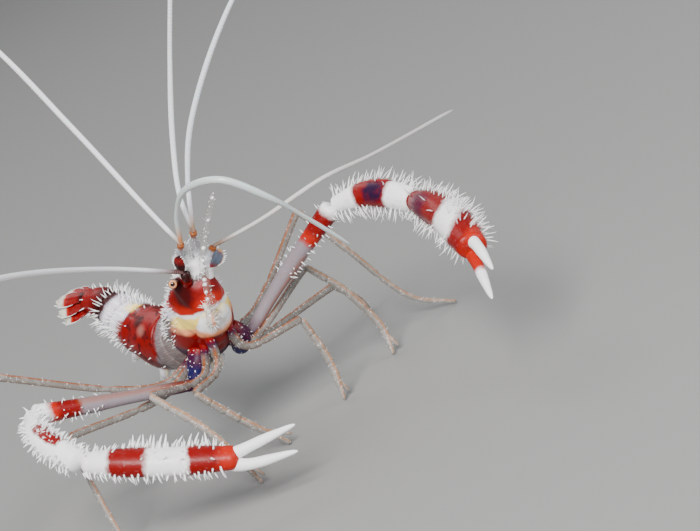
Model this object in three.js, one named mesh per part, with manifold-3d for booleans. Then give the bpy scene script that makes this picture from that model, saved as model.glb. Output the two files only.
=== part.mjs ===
// A banded coral shrimp (Stenopus hispidus), life size and standing on the floor.
// Millimetres. +X is the way it faces, +Y its left, +Z up. Names of its two sides end in _l and _r.
import * as THREE from "three";
import { mergeVertices } from "three/addons/utils/BufferGeometryUtils.js";
import Module from "manifold-3d";

const wasm = await Module();
wasm.setup();

// ---- driving dimensions ----
const HIP_HEIGHT = 16; // the joint of carapace and abdomen above the floor
const NOSE_UP = Math.atan2(0.6, 0.8); // the pitch of the head and thorax
const HEAD_TURN = -0.15; // the head and thorax turn to the right, about a line through the eyes
const EYE_LINE = 10.4; // how far forward that line is
const CARAPACE = { length: 14.6, back: -1.4, width: 7.8, above: 2.4, below: 5.8, front: 0.3 };
const BELLY = { below: -3.6, halfWidth: 2.5 }; // where the sternum takes over from the carapace
const EYE = { radius: 0.6, out: 2.7, along: 13.1, dorsal: 0.2 };
const JOINT_GAP = 0.14; // between neighbouring shell pieces
const LEG_RADIUS = 0.46;
const FOOT_RADIUS = 0.27; // a leg's tip is half a millimetre thick
const FEELER_RADIUS = 0.31;
const PLATE = 0.62; // thickness of tail fan blades and antennal scales
const SPINE = { radius: 0.32, lean: 0.45, sides: 3 };
const FLOOR_BLOCK = { size: 120, depth: 20 }; // trims the feet to one level

// ---- materials ----
const finish = (color, roughness) => new THREE.MeshStandardMaterial({ color, roughness, metalness: 0 });
const SHELL = {
  red: finish(0xa3160f, 0.3),
  white: finish(0xf1e8df, 0.35),
  clear: finish(0xb6a79a, 0.3),
  blue: finish(0x5a3f8c, 0.3),
  feeler: finish(0xe6ecf2, 0.4),
  eye: finish(0xe08a4a, 0.2),
};

// ---- vectors and profiles ----
const V = (x, y, z) => new THREE.Vector3(x, y, z);
const UP = V(0, 0, 1);
const mix = (a, b, t) => a + (b - a) * t;
const scaled = (values, k) => values.map((value) => value * k);
const curveOf = (points) => new THREE.CatmullRomCurve3(points, false, "centripetal");

// A value that runs smoothly through evenly spaced samples, t from 0 to 1.
function through(samples) {
  return (t) => {
    const place = THREE.MathUtils.clamp(t, 0, 1) * (samples.length - 1);
    const i = Math.min(Math.floor(place), samples.length - 2);
    const ease = THREE.MathUtils.smoothstep(place - i, 0, 1);
    return mix(samples[i], samples[i + 1], ease);
  };
}

// A point of the head and thorax: along its axis, out to the left, and towards the animal's back.
function body(along, left, dorsal) {
  const point = V(along, left, dorsal).applyAxisAngle(V(0, 1, 0), -NOSE_UP);
  point.x -= EYE_LINE;
  point.applyAxisAngle(UP, HEAD_TURN);
  return point.add(V(EYE_LINE, 0, HIP_HEIGHT));
}
const bodyWay = (along, left, dorsal) => body(along, left, dorsal).sub(body(0, 0, 0));

// The directions across and upwards at a place on a curve.
function frameAt(curve, t, up) {
  const tangent = curve.getTangent(t);
  const side = V().crossVectors(up, tangent).normalize();
  const top = V().crossVectors(tangent, side);
  return { at: curve.getPoint(t), tangent, side, top };
}

// ---- solids ----
function solidOf(geometry) {
  geometry.deleteAttribute("normal");
  geometry.deleteAttribute("uv");
  const merged = mergeVertices(geometry, 1e-4);
  const vertProperties = merged.attributes.position.array;
  const triVerts = new Uint32Array(merged.index.array);
  return new wasm.Manifold(new wasm.Mesh({ numProp: 3, vertProperties, triVerts }));
}

function geometryOf(solid) {
  const { vertProperties, triVerts } = solid.getMesh();
  const geometry = new THREE.BufferGeometry();
  geometry.setAttribute("position", new THREE.BufferAttribute(new Float32Array(vertProperties), 3));
  geometry.setIndex(new THREE.BufferAttribute(new Uint32Array(triVerts), 1));
  return geometry;
}

const largest = (solid) => solid.decompose().sort((a, b) => b.volume() - a.volume())[0];

// Sweeps a closed cylinder along a curve: `section(t, angle)` gives the half width across
// and up at each place, `up` says which way the section stands, and `longer` moves the ends out.
function sweep(curve, section, { around = 10, along = 8, up = UP, longer = 0 } = {}) {
  const shape = new THREE.CylinderGeometry(1, 1, 2, around, along);
  const place = shape.attributes.position;
  for (let i = 0; i < place.count; i++) {
    const v = V().fromBufferAttribute(place, i);
    const t = THREE.MathUtils.clamp((1 - v.y) / 2, 0, 1);
    const onAxis = Math.hypot(v.x, v.z) < 1e-6;
    const angle = Math.atan2(v.z, v.x);
    const [across, high] = onAxis ? [0, 0] : section(t, angle);
    const { at, tangent, side, top } = frameAt(curve, t, up);
    if (t === 0 || t === 1) at.addScaledVector(tangent, (2 * t - 1) * longer);
    at.addScaledVector(side, Math.cos(angle) * across);
    at.addScaledVector(top, Math.sin(angle) * high);
    place.setXYZ(i, at.x, at.y, at.z);
  }
  return solidOf(shape);
}

// A cone spine, its root sunk into what it grows from.
function spine(root, direction, length, radius = SPINE.radius) {
  const cone = new THREE.ConeGeometry(radius, length + radius, SPINE.sides);
  cone.translate(0, (length - radius) / 2, 0);
  const turn = new THREE.Quaternion().setFromUnitVectors(V(0, 1, 0), direction.clone().normalize());
  cone.applyQuaternion(turn);
  cone.translate(root.x, root.y, root.z);
  return solidOf(cone);
}

// A tapering limb through the given points, with radii at even places along it.
function limb(points, radii, { flat = 1, around = 6, along = 6, up = UP } = {}) {
  const curve = curveOf(points);
  const radius = through(radii);
  return (grow) => {
    const section = (t) => [radius(t) + grow, radius(t) * flat + grow];
    return sweep(curve, section, { around, along, up, longer: grow });
  };
}

// The same limb with rows of spines round it, leaning towards its tip.
function spinyLimb(points, radii, spines, options) {
  const curve = curveOf(points);
  const radius = through(radii);
  const plain = limb(points, radii, options);
  const depth = 0.85; // a spine's root sits this far out from the limb's middle
  return (grow) => {
    let solid = plain(grow);
    if (grow > 0) return solid;
    for (let row = 0; row < spines.rows; row++) {
      const angle = ((row + 0.5) / spines.rows) * 2 * Math.PI;
      for (let i = 0; i < spines.count; i++) {
        const t = mix(spines.from, spines.to, (i + (row % 2) / 2) / spines.count);
        const { at, tangent, side, top } = frameAt(curve, t, options.up);
        const out = side.multiplyScalar(Math.cos(angle)).addScaledVector(top, Math.sin(angle));
        const root = at.addScaledVector(out, radius(t) * depth);
        const lean = out.clone().addScaledVector(tangent, SPINE.lean);
        const uneven = 0.8 + 0.2 * Math.cos(3 * i + row);
        solid = solid.add(spine(root, lean, spines.length * uneven));
      }
    }
    return solid;
  };
}

// An oval blade on a stem.
function blade(points, halfWidth, up, { around = 8, along = 4 } = {}) {
  const curve = curveOf(points);
  const width = through([0.3, 0.75, 1, 0.85, 0.3]);
  return (grow) => {
    const section = (t) => [halfWidth * width(t) + grow, PLATE / 2 + grow];
    return sweep(curve, section, { around, along, up, longer: grow });
  };
}

// ---- the node list: each piece keeps a grown copy of itself, which cuts its neighbours' joints ----
const shrimp = new THREE.Group();
const grown = new Map();

function add(name, make, material, { cutBy = [], trims = [] } = {}) {
  let solid = make(0);
  for (const other of cutBy) solid = solid.subtract(grown.get(other));
  for (const block of trims) solid = solid.subtract(block);
  grown.set(name, make(JOINT_GAP));
  const mesh = new THREE.Mesh(geometryOf(largest(solid)), material);
  mesh.name = name;
  shrimp.add(mesh);
}
const SIDES = [
  ["l", 1],
  ["r", -1],
];

// ---- head and thorax ----
const thoraxCurve = new THREE.LineCurve3(
  body(CARAPACE.back, 0, 0),
  body(CARAPACE.back + CARAPACE.length, 0, CARAPACE.front),
);
const thoraxWidth = through([0.72, 0.96, 1, 0.94, 0.8, 0.62, 0.34]);
const thoraxAbove = through([0.74, 0.97, 1, 0.95, 0.84, 0.66, 0.4]);
const thoraxBelow = through([0.5, 0.9, 1, 1, 0.96, 0.8, 0.42]);
const bodyUp = bodyWay(0, 0, 1);

function thorax(grow) {
  const section = (t, angle) => {
    const upper = Math.sin(angle) > 0;
    const cheek = upper ? 1 : 1 + 0.14 * Math.sin(2 * Math.abs(angle)) ** 2;
    const across = (CARAPACE.width / 2) * thoraxWidth(t) * cheek + grow;
    const high = upper ? CARAPACE.above * thoraxAbove(t) : CARAPACE.below * thoraxBelow(t);
    return [across, high + grow];
  };
  return sweep(thoraxCurve, section, { around: 16, along: 10, up: bodyUp });
}

// A block under the thorax, in the thorax's own slant, with its top face at the given place.
function blockBelow(dorsal, halfWidth) {
  const block = new THREE.BoxGeometry(40, 2 * halfWidth, 20);
  block.translate(0, 0, -10);
  block.rotateY(-NOSE_UP);
  block.rotateZ(HEAD_TURN);
  const at = body(6, 0, dorsal);
  block.translate(at.x, at.y, at.z);
  return solidOf(block);
}

function carapace(grow) {
  return thorax(grow).subtract(blockBelow(BELLY.below - grow, BELLY.halfWidth - grow));
}

function sternum(grow) {
  const inset = grow - JOINT_GAP;
  return thorax(grow / 2).intersect(blockBelow(BELLY.below + inset, BELLY.halfWidth + inset));
}
add("carapace", carapace, SHELL.red);
add("sternum", sternum, SHELL.white);

// The rostrum is a short toothed spike in line with the back.
const ROSTRUM = [body(11.6, 0, 1.1), body(14.4, 0, 1.6), body(17.6, 0, 1.9)];
function rostrum(grow) {
  let solid = limb(ROSTRUM, [1.05, 0.8, 0.26], { around: 8 })(grow);
  if (grow > 0) return solid;
  const ridge = curveOf(ROSTRUM);
  for (let i = 0; i < 5; i++) {
    const t = mix(0.12, 0.82, i / 4);
    const root = ridge.getPoint(t).addScaledVector(bodyUp, 0.25);
    solid = solid.add(spine(root, bodyWay(0.7, 0, 1), mix(1.5, 0.8, t)));
  }
  for (const [, left] of SIDES) {
    for (let i = 0; i < 3; i++) {
      const root = body(12.2 + 1.3 * i, left * mix(0.8, 0.4, i / 2), 1.5);
      solid = solid.add(spine(root, bodyWay(0.8, left, 0.5), 1.1));
    }
  }
  return solid;
}
add("rostrum", rostrum, SHELL.white, { cutBy: ["carapace"] });

for (const [side, left] of SIDES) {
  const eyeAt = body(EYE.along, left * EYE.out, EYE.dorsal);
  const stalkRoot = body(EYE.along - 0.7, left * 1.2, 0.3);
  const ball = (grow) => new THREE.SphereGeometry(EYE.radius + grow, 9, 6);
  const eye = (grow) => solidOf(ball(grow).translate(eyeAt.x, eyeAt.y, eyeAt.z));
  const stalk = limb([stalkRoot, eyeAt], [0.5, 0.6], { along: 1, around: 6 });
  add("eye_" + side, eye, SHELL.eye);
  add("eye_stalk_" + side, stalk, SHELL.clear, { cutBy: ["carapace", "rostrum", "eye_" + side] });
}

// ---- antennules, antennae and their scales ----
const HEAD = ["carapace", "rostrum", "sternum", "eye_l", "eye_r", "eye_stalk_l", "eye_stalk_r"];
const ANTENNULE = {
  r: { points: [body(12.6, -1, 0.3), V(11.6, -1.3, 26.4), V(14.3, -1.4, 28.6)], after: [] },
  l: {
    points: [body(12.6, 1, 0.3), V(12.3, 0.9, 26.6), V(15.9, -0.1, 29.4)],
    after: ["antennule_base_r"],
  },
};
const ANTENNA = {
  r: [body(12.4, -1.2, -0.6), V(11.8, -1.6, 24.4), V(12.5, -2, 25.2)],
  l: [body(12.2, 1.4, -1.2), V(11.4, 1.9, 24.4), V(12.6, 2.8, 25.8)],
};
const SCALE = {
  r: {
    points: [V(12, -2, 24.9), V(13.3, -2.3, 26.4), V(14.1, -2.3, 27.5)],
    half: 0.7,
    up: V(0.6, -0.8, 0.1),
  },
  l: {
    points: [V(11.5, 1.8, 23.7), V(12.3, 2.5, 24.4), V(12.9, 3.4, 25.1)],
    half: 0.9,
    up: V(0.9, -0.4, 0.3),
  },
};
for (const side of ["r", "l"]) {
  const { points, after } = ANTENNULE[side];
  const base = limb(points, [0.6, 0.5, 0.4], { around: 6, along: 4 });
  add("antennule_base_" + side, base, SHELL.clear, { cutBy: [...HEAD, ...after] });
}
for (const [side] of SIDES) {
  const base = limb(ANTENNA[side], [0.6, 0.6, 0.42], { around: 6, along: 3 });
  const behind = [...HEAD, "antennule_base_" + side];
  add("antenna_base_" + side, base, SHELL.clear, { cutBy: behind });
  const { points, half, up } = SCALE[side];
  const cutBy = [...behind, "antenna_base_" + side];
  add("antennal_scale_" + side, blade(points, half, up), SHELL.clear, { cutBy });
}

// Six feelers: one from each antenna and two from each antennule.
const FEELER = {
  antenna_r: [V(12.5, -2, 25.2), V(18.6, -13.2, 32.2), V(34, -30, 41), V(50, -44, 46), V(64, -52, 45)],
  antenna_l: [V(12.6, 2.8, 25.8), V(12.6, 10, 25.3), V(12.8, 19, 25.4), V(10, 28, 23.7), V(2, 46, 20.5)],
  antennule_upper_r: [
    V(14.3, -1.4, 28.6),
    V(13.5, -2.6, 33.5),
    V(12.6, -5.8, 46.2),
    V(12, -10, 60),
    V(10, -17, 74),
  ],
  antennule_lower_r: [
    V(14.3, -1.4, 28.6),
    V(17, -1.5, 32.2),
    V(21.7, -1.3, 35.3),
    V(27.4, 0.4, 35.4),
    V(28.4, 4, 31.2),
    V(26.4, 8, 26.4),
    V(24, 12.8, 20),
  ],
  antennule_upper_l: [V(15.9, -0.1, 29.4), V(17, 0, 34), V(18.6, 1.6, 40), V(22.7, 3.9, 48.7), V(31, 7, 62)],
  antennule_lower_l: [
    V(15.9, -0.1, 29.4),
    V(18.2, 1.4, 35.6),
    V(21.4, 3.6, 41.6),
    V(30, 10.9, 52.4),
    V(42, 22, 62),
  ],
};
const FEELER_ROOT = { antenna: "antenna_base_", antennule: "antennule_base_" };
for (const [name, points] of Object.entries(FEELER)) {
  const side = name.slice(-1);
  const base = FEELER_ROOT[name.split("_")[0]] + side;
  const middle = name === "antennule_lower_r" ? 1.5 : 1.1;
  const radii = scaled([0.9, 1, middle, middle, 0.9, 0.84], FEELER_RADIUS);
  const upper = name.includes("lower") ? ["feeler_" + name.replace("lower", "upper")] : [];
  const shaft = limb(points, radii, { around: 5, along: 10, up: V(0.5, 0.1, -1) });
  add("feeler_" + name, shaft, SHELL.feeler, { cutBy: [base, "antennal_scale_" + side, ...upper] });
}

// ---- third maxillipeds: the left one raised before the face, the right one folded under it ----
const MAXILLIPED = {
  l: {
    points: [
      body(9, 1, -4.6),
      V(12.3, -0.6, 18.9),
      V(13.1, -0.7, 21.5),
      V(14.3, 0.4, 26.1),
      V(15.8, 4.5, 32),
    ],
    radii: [0.75, 0.7, 0.62, 0.55, 0.34],
    after: ["antennule_base_l", "antennule_base_r", "feeler_antennule_upper_l", "feeler_antennule_lower_l"],
  },
  r: {
    points: [body(9, -1, -4.6), body(10.8, -1.1, -5.4), body(12.6, -1, -3.6)],
    radii: [0.6, 0.6, 0.35],
    after: ["maxilliped_l"],
  },
};
for (const [side] of SIDES) {
  const { points, radii, after } = MAXILLIPED[side];
  add("maxilliped_" + side, limb(points, radii), SHELL.clear, { cutBy: [...HEAD, ...after] });
}

// ---- the great clawed arms, the third pair of legs ----
const ARM = {
  l: {
    base: V(4.2, 3.6, 11.1),
    merus: V(8.0, 10.3, 16.3),
    elbow: V(14.2, 18.2, 22.3),
    carpus: V(18.8, 21.1, 22.2),
    wrist: V(24.1, 22.8, 20.1),
    palm: V(31.6, 21.2, 19),
    knuckle: V(39.6, 18, 16.2),
    sink: V(37.4, 18.6, 16.6),
    fingers: [
      [V(39.6, 18.3, 16.9), V(44.2, 16.3, 14.6)],
      [V(39.6, 17.5, 15.1), V(44.2, 14.6, 11.9)],
    ],
    carpusRadii: [1.05, 1.45, 1.65, 1.45],
    palmRadii: [1.5, 2.25, 2.3, 1.8],
    up: V(0.1, 0.8, 1),
  },
  r: {
    base: V(4.9, -3.8, 11),
    merus: V(3.8, -14, 15),
    elbow: V(2.6, -22.7, 18.4),
    carpus: V(8.3, -25.1, 17),
    wrist: V(13.8, -24.4, 13.9),
    palm: V(19.2, -18.6, 10.6),
    knuckle: V(24.7, -11.9, 7.3),
    sink: V(23.2, -13.6, 7.8),
    fingers: [
      [V(24.7, -11.6, 7.9), V(28, -5.6, 7.8)],
      [V(24.9, -12, 6.4), V(28.9, -7.2, 5.4)],
    ],
    carpusRadii: [1.05, 1.35, 1.55, 1.35],
    palmRadii: [1.35, 1.75, 1.7, 1.35],
    up: V(0.5, -0.3, 0.8),
  },
};
const FINGER = { around: 7, along: 4 };
for (const [side, left] of SIDES) {
  const arm = ARM[side];
  const up = arm.up;
  const name = (piece) => "arm_" + piece + "_" + side;
  const hip = [body(3.4, left * 1.9, -4.2), body(2.6, left * 2.9, -5.4), arm.base];
  const merus = [arm.base, arm.merus, arm.elbow];
  const merusSpines = { rows: 4, count: 3, from: 0.5, to: 0.95, length: 0.9 };
  const carpus = [arm.elbow, arm.carpus, arm.wrist];
  const carpusSpines = { rows: 4, count: 4, from: 0.15, to: 0.9, length: 1.1 };
  const palm = [arm.wrist, arm.palm, arm.knuckle];
  const palmSpines = { rows: 4, count: 4, from: 0.12, to: 0.95, length: 1.2 };
  const [moving, fixed] = arm.fingers;
  const palmSolid = spinyLimb(palm, arm.palmRadii, palmSpines, { around: 7, flat: 0.85, up });
  const fixedFinger = limb([arm.sink, ...fixed], [0.6, 0.95, 0.7, 0.28], FINGER);
  const withFinger = (grow) => palmSolid(grow).add(fixedFinger(grow));
  add(name("base"), limb(hip, [1.45, 1.45, 1.0], { along: 5 }), SHELL.blue, { cutBy: HEAD });
  add(name("merus"), spinyLimb(merus, [0.75, 0.8, 1.0, 1.2], merusSpines, { up }), SHELL.clear, {
    cutBy: [name("base")],
  });
  add(name("carpus"), spinyLimb(carpus, arm.carpusRadii, carpusSpines, { along: 5, up }), SHELL.white, {
    cutBy: [name("merus")],
  });
  add(name("finger"), limb(moving, [0.8, 0.66, 0.28], FINGER), SHELL.white);
  add(name("palm"), withFinger, SHELL.red, { cutBy: [name("carpus"), name("finger")] });
}

// ---- the thin legs: two pairs with small pincers before the arms and two walking pairs behind ----
// `thumb` is the tip of a pincer's second finger; the foot itself is the first.
const LEG = {
  leg1_l: {
    upper: [body(7, 1.2, -4.7), V(8.4, 2.4, 12.6), V(9.3, 10.2, 11.6)],
    lower: [V(9.3, 10.2, 11.6), V(8.6, 11.3, 4.8), V(9.4, 10.3, 0)],
    thumb: V(9.1, 11.5, 0.8),
  },
  leg1_r: {
    upper: [body(7, -1.2, -4.7), V(8.6, -2, 12.4), V(11.4, -7.3, 12.2)],
    lower: [V(11.4, -7.3, 12.2), V(10.8, -3.6, 6.4), V(10.7, 0.8, 0)],
    thumb: V(11.2, 1.3, 1.3),
  },
  leg2_l: {
    upper: [body(5.2, 1.6, -4.6), V(6.4, 3.4, 12), V(6.9, 15, 15.9)],
    lower: [V(6.9, 15, 15.9), V(5.9, 18.8, 10.3), V(5.2, 21.4, 3.4), V(6.4, 20.5, 0)],
    thumb: V(6.3, 21.7, 0.8),
  },
  leg2_r: {
    upper: [body(5.2, -1.6, -4.6), V(6.8, -3.2, 12), V(9.8, -11.7, 14.5)],
    lower: [V(9.8, -11.7, 14.5), V(15.6, -9.8, 8.8), V(16.2, -7.2, 0)],
    thumb: V(17.1, -6.9, 1.2),
  },
  leg4_l: {
    upper: [body(1.4, 1.9, -4), V(1.4, 9, 13.4), V(-0.5, 21.2, 20.2)],
    lower: [V(-0.5, 21.2, 20.2), V(-0.2, 24.8, 12.6), V(1.6, 28.9, 3.4), V(4, 33, 0)],
  },
  leg4_r: {
    upper: [body(1.4, -1.9, -4), V(3.2, -7, 11.6), V(4, -20.5, 14.2)],
    lower: [V(4, -20.5, 14.2), V(6.1, -21.6, 9.4), V(12.6, -23.9, 0)],
  },
  leg5_l: {
    upper: [body(-0.4, 1.8, -3.4), V(0.6, 6.5, 10.4), V(-3.4, 22.4, 8.8)],
    lower: [V(-3.4, 22.4, 8.8), V(-8, 27, 4.4), V(-14, 31, 0)],
  },
  leg5_r: {
    upper: [body(-0.4, -1.8, -3.4), V(0.4, -6, 12), V(-9.2, -22.6, 23.4)],
    lower: [V(-9.2, -22.6, 23.4), V(-9.8, -29.6, 12.2), V(-10.1, -35.9, 0)],
  },
};
const floorBox = new THREE.BoxGeometry(FLOOR_BLOCK.size, FLOOR_BLOCK.size, FLOOR_BLOCK.depth);
const floorBlock = solidOf(floorBox.translate(0, 0, -FLOOR_BLOCK.depth / 2));
const PALM_AT = 0.74; // where a pincer's two fingers part, along the lower leg

function lowerLeg({ lower, thumb }) {
  const foot = FOOT_RADIUS / LEG_RADIUS;
  const radii = scaled([0.95, thumb ? 1.1 : 0.9, thumb ? 1.1 : 0.8, foot], LEG_RADIUS);
  const shaft = limb(lower, radii, { around: 6, along: 5, up: V(0.9, 0.1, 0.3) });
  if (!thumb) return shaft;
  const root = curveOf(lower).getPoint(PALM_AT);
  const finger = limb([root, thumb], [0.32, 0.34, FOOT_RADIUS], { around: 5, along: 2 });
  return (grow) => shaft(grow).add(finger(grow));
}

for (const [name, leg] of Object.entries(LEG)) {
  const side = name.slice(-1);
  const upperName = name + "_upper";
  const upper = limb(leg.upper, scaled([1.5, 1.15, 1, 1], LEG_RADIUS), { around: 6, up: V(0.3, 0, 1) });
  const near = ["arm_base_", "arm_merus_", "maxilliped_"].map((piece) => piece + side);
  add(upperName, upper, SHELL.clear, { cutBy: [...HEAD, ...near] });
  add(name + "_lower", lowerLeg(leg), SHELL.clear, { cutBy: [upperName], trims: [floorBlock] });
}

// ---- abdomen, six rings ----
const abdomenCurve = curveOf([
  V(0.5, 1.4, 15.2),
  V(-3.6, 0.9, 14.4),
  V(-8.4, 0.4, 15.2),
  V(-12.4, 0, 16.9),
  V(-16.2, -0.1, 19.5),
  V(-19.4, -0.6, 20.5),
]);
const RING_ENDS = [0, 0.1, 0.22, 0.54, 0.66, 0.77, 1];
const RING_GAP = 0.003; // of the abdomen's length
const ringWidth = through([3.5, 3.7, 3.6, 3.1, 2.5, 2.0, 1.6]);
const ringHeight = through([3.2, 3.5, 3.5, 3, 2.4, 1.9, 1.4]);
const HIND_LEGS = SIDES.flatMap(([side]) => [`leg5_${side}_upper`, `leg4_${side}_upper`, "arm_base_" + side]);
const RING_LOOKS = [SHELL.clear, SHELL.clear, SHELL.red, SHELL.white, SHELL.white, SHELL.red];

function ring(from, to) {
  const reach = (t) => mix(from, to, t);
  const part = {
    getPoint: (t) => abdomenCurve.getPoint(reach(t)),
    getTangent: (t) => abdomenCurve.getTangent(reach(t)),
  };
  return (grow) => {
    const section = (t, angle) => {
      const bulge = 1 + 0.05 * Math.sin(Math.PI * t);
      const skirt = Math.sin(angle) < 0 ? 1.12 : 1;
      const across = ringWidth(reach(t)) * bulge + grow;
      return [across, ringHeight(reach(t)) * bulge * skirt + grow];
    };
    return sweep(part, section, { around: 12, along: 3, longer: grow });
  };
}

function swimmeret(at, left, length) {
  const root = abdomenCurve.getPoint(at);
  const high = ringHeight(at);
  const points = [
    V(root.x, root.y + left * 1.1, root.z - high * 0.7),
    V(root.x + 0.5, root.y + left * 1.4, root.z - high - length * 0.4),
    V(root.x - 0.5, root.y + left * 1.5, root.z - high - length),
  ];
  return blade(points, 0.8, V(1, 0, 0.2), { around: 5, along: 2 })(0);
}

for (let i = 0; i < 6; i++) {
  const from = RING_ENDS[i];
  const to = RING_ENDS[i + 1];
  const shell = ring(from + RING_GAP, to - RING_GAP);
  const make = (grow) => {
    let solid = shell(grow);
    if (i === 5) return solid;
    for (const [, left] of SIDES) {
      solid = solid.add(swimmeret(mix(from, to, 0.55), left, mix(2.6, 1.8, i / 4)));
    }
    return solid;
  };
  const ahead = i === 0 ? HIND_LEGS : ["abdomen_" + i];
  const cutBy = i < 3 ? ["carapace", "sternum", ...ahead] : ahead;
  add("abdomen_" + (i + 1), make, RING_LOOKS[i], { cutBy });
}

// ---- tail fan: the telson lies over the inner blades and these over the outer ones ----
const TAIL = { root: V(-19.4, -0.6, 20.5), back: V(-0.86, -0.49, 0.12), up: V(0.1, -0.45, 0.85) };
const FAN = {
  telson: { length: 4.9, aside: 0, lift: 0.78, half: 1.05 },
  uropod_inner: { length: 4.7, aside: 1.2, lift: 0, half: 1.15 },
  uropod_outer: { length: 4.3, aside: 1.9, lift: -0.78, half: 1.3 },
};
const tailLeft = V().crossVectors(TAIL.back, TAIL.up).normalize();

function fanBlade({ length, aside, lift, half }, left) {
  const place = (t, spread, droop) => {
    const at = TAIL.root.clone().addScaledVector(TAIL.back, length * t);
    at.addScaledVector(tailLeft, left * aside * spread);
    return at.addScaledVector(TAIL.up, lift - droop);
  };
  const points = [place(-0.1, 0.3, 0), place(0.5, 0.8, 0), place(1, 1, 0.3)];
  return blade(points, half, TAIL.up);
}
const tail = [["telson", "telson", 0]];
for (const [side, left] of SIDES) {
  tail.push(["uropod_inner_" + side, "uropod_inner", left]);
  tail.push(["uropod_outer_" + side, "uropod_outer", left]);
}
const above = ["abdomen_6"];
for (const [name, piece, left] of tail) {
  add(name, fanBlade(FAN[piece], left), SHELL.red, { cutBy: above });
  above.push(name);
}

// The origin is under the middle of the animal, on the floor.
const box = new THREE.Box3().setFromObject(shrimp);
const middle = box.getCenter(V());
for (const mesh of shrimp.children) mesh.geometry.translate(-middle.x, -middle.y, -box.min.z);

export default shrimp;
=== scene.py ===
# %% [markdown]
# # A banded coral shrimp in shell, spines and feelers
# The animal is a cleaner shrimp with a body about as long as a thumb. Its shell is made of
# many stiff plates, so each plate, leg length and feeler is its own piece here, as it is in
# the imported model. Blender gives them smooth rounded forms, hundreds of small spines, crimson
# and white bands, and a wet glassy finish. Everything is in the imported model's own frame.

# %% Load the fixed frame
import math
import random

import bmesh
import bpy
from mathutils import Matrix, Vector


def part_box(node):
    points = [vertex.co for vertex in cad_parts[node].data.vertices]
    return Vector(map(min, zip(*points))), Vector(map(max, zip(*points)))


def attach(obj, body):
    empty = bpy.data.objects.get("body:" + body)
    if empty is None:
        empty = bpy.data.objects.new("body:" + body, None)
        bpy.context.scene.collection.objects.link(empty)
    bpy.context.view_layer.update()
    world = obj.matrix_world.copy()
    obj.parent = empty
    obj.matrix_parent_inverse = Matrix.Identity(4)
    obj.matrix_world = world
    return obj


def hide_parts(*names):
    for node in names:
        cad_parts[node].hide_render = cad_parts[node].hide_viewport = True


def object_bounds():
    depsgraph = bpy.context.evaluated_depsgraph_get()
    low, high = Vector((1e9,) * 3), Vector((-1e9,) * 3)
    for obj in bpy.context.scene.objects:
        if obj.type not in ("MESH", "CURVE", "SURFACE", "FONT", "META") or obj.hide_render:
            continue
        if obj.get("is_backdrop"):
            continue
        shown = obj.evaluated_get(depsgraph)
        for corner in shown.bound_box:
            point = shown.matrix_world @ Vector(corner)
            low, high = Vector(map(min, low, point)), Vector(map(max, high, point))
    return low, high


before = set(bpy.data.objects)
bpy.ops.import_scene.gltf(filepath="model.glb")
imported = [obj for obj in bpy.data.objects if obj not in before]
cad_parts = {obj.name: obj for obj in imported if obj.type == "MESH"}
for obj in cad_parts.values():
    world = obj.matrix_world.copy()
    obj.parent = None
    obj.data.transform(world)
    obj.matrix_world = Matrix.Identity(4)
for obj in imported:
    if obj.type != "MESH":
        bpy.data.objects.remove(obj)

cad_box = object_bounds()
random.seed(11)
print(len(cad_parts), "nodes are loaded")

# %% [markdown]
# ## A frame of the animal's own
# All lengths below are in millimetres from the place where carapace and abdomen meet, 16 mm
# above the floor. The centre of the right eye is known in both frames, so it gives the shift.
# The head and thorax point up at a slant and turn a little to the right, so a place on them is
# easier to give along the body axis, out to the left and towards the back.

# %% The animal's own millimetres
MM = 0.001
HIP_HEIGHT = 16
NOSE_UP = math.atan2(0.6, 0.8)
HEAD_TURN = -0.15
EYE_LINE = 10.4
EYE_ALONG, EYE_OUT, EYE_DORSAL, EYE_RADIUS = 13.1, 2.7, 0.2, 0.6
HEAD = (
    Matrix.Translation((EYE_LINE, 0, HIP_HEIGHT))
    @ Matrix.Rotation(HEAD_TURN, 4, "Z")
    @ Matrix.Translation((-EYE_LINE, 0, 0))
    @ Matrix.Rotation(-NOSE_UP, 4, "Y")
)


def body(along, left, dorsal):
    """A place on the head and thorax."""
    return HEAD @ Vector((along, left, dorsal))


def body_way(along, left, dorsal):
    """A direction in the slant of the head and thorax."""
    return (HEAD.to_3x3() @ Vector((along, left, dorsal))).normalized()


eye_low, eye_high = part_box("eye_r")
ORIGIN = (eye_low + eye_high) / 2 - body(EYE_ALONG, -EYE_OUT, EYE_DORSAL) * MM
TO_FRAME = Matrix.Translation(ORIGIN) @ Matrix.Scale(MM, 4)
print("the hip is at", [round(x, 4) for x in TO_FRAME @ Vector((0, 0, HIP_HEIGHT))])

# %% [markdown]
# ## Curves, profiles and sweeps
# A crustacean limb is a chain of tapering tubes, and so nearly every piece here is a ball of
# rings laid along a curve. The sphere operator gives closed, outward-facing rings, and moving
# its points onto the curve bends it into shape. Each point keeps two attributes: `run` holds
# how far along the piece it is and where round it, and `tip` is 1 at the end of a spine, so
# that bands and spine colours follow the surface.

# %% Curves and profiles


def mix(a, b, t):
    return a + (b - a) * t


def through(*samples):
    """A value that runs smoothly through evenly spaced samples, t from 0 to 1."""

    def value(t):
        place = min(max(t, 0.0), 1.0) * (len(samples) - 1)
        i = min(int(place), len(samples) - 2)
        s = place - i
        return mix(samples[i], samples[i + 1], s * s * (3 - 2 * s))

    return value


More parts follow.
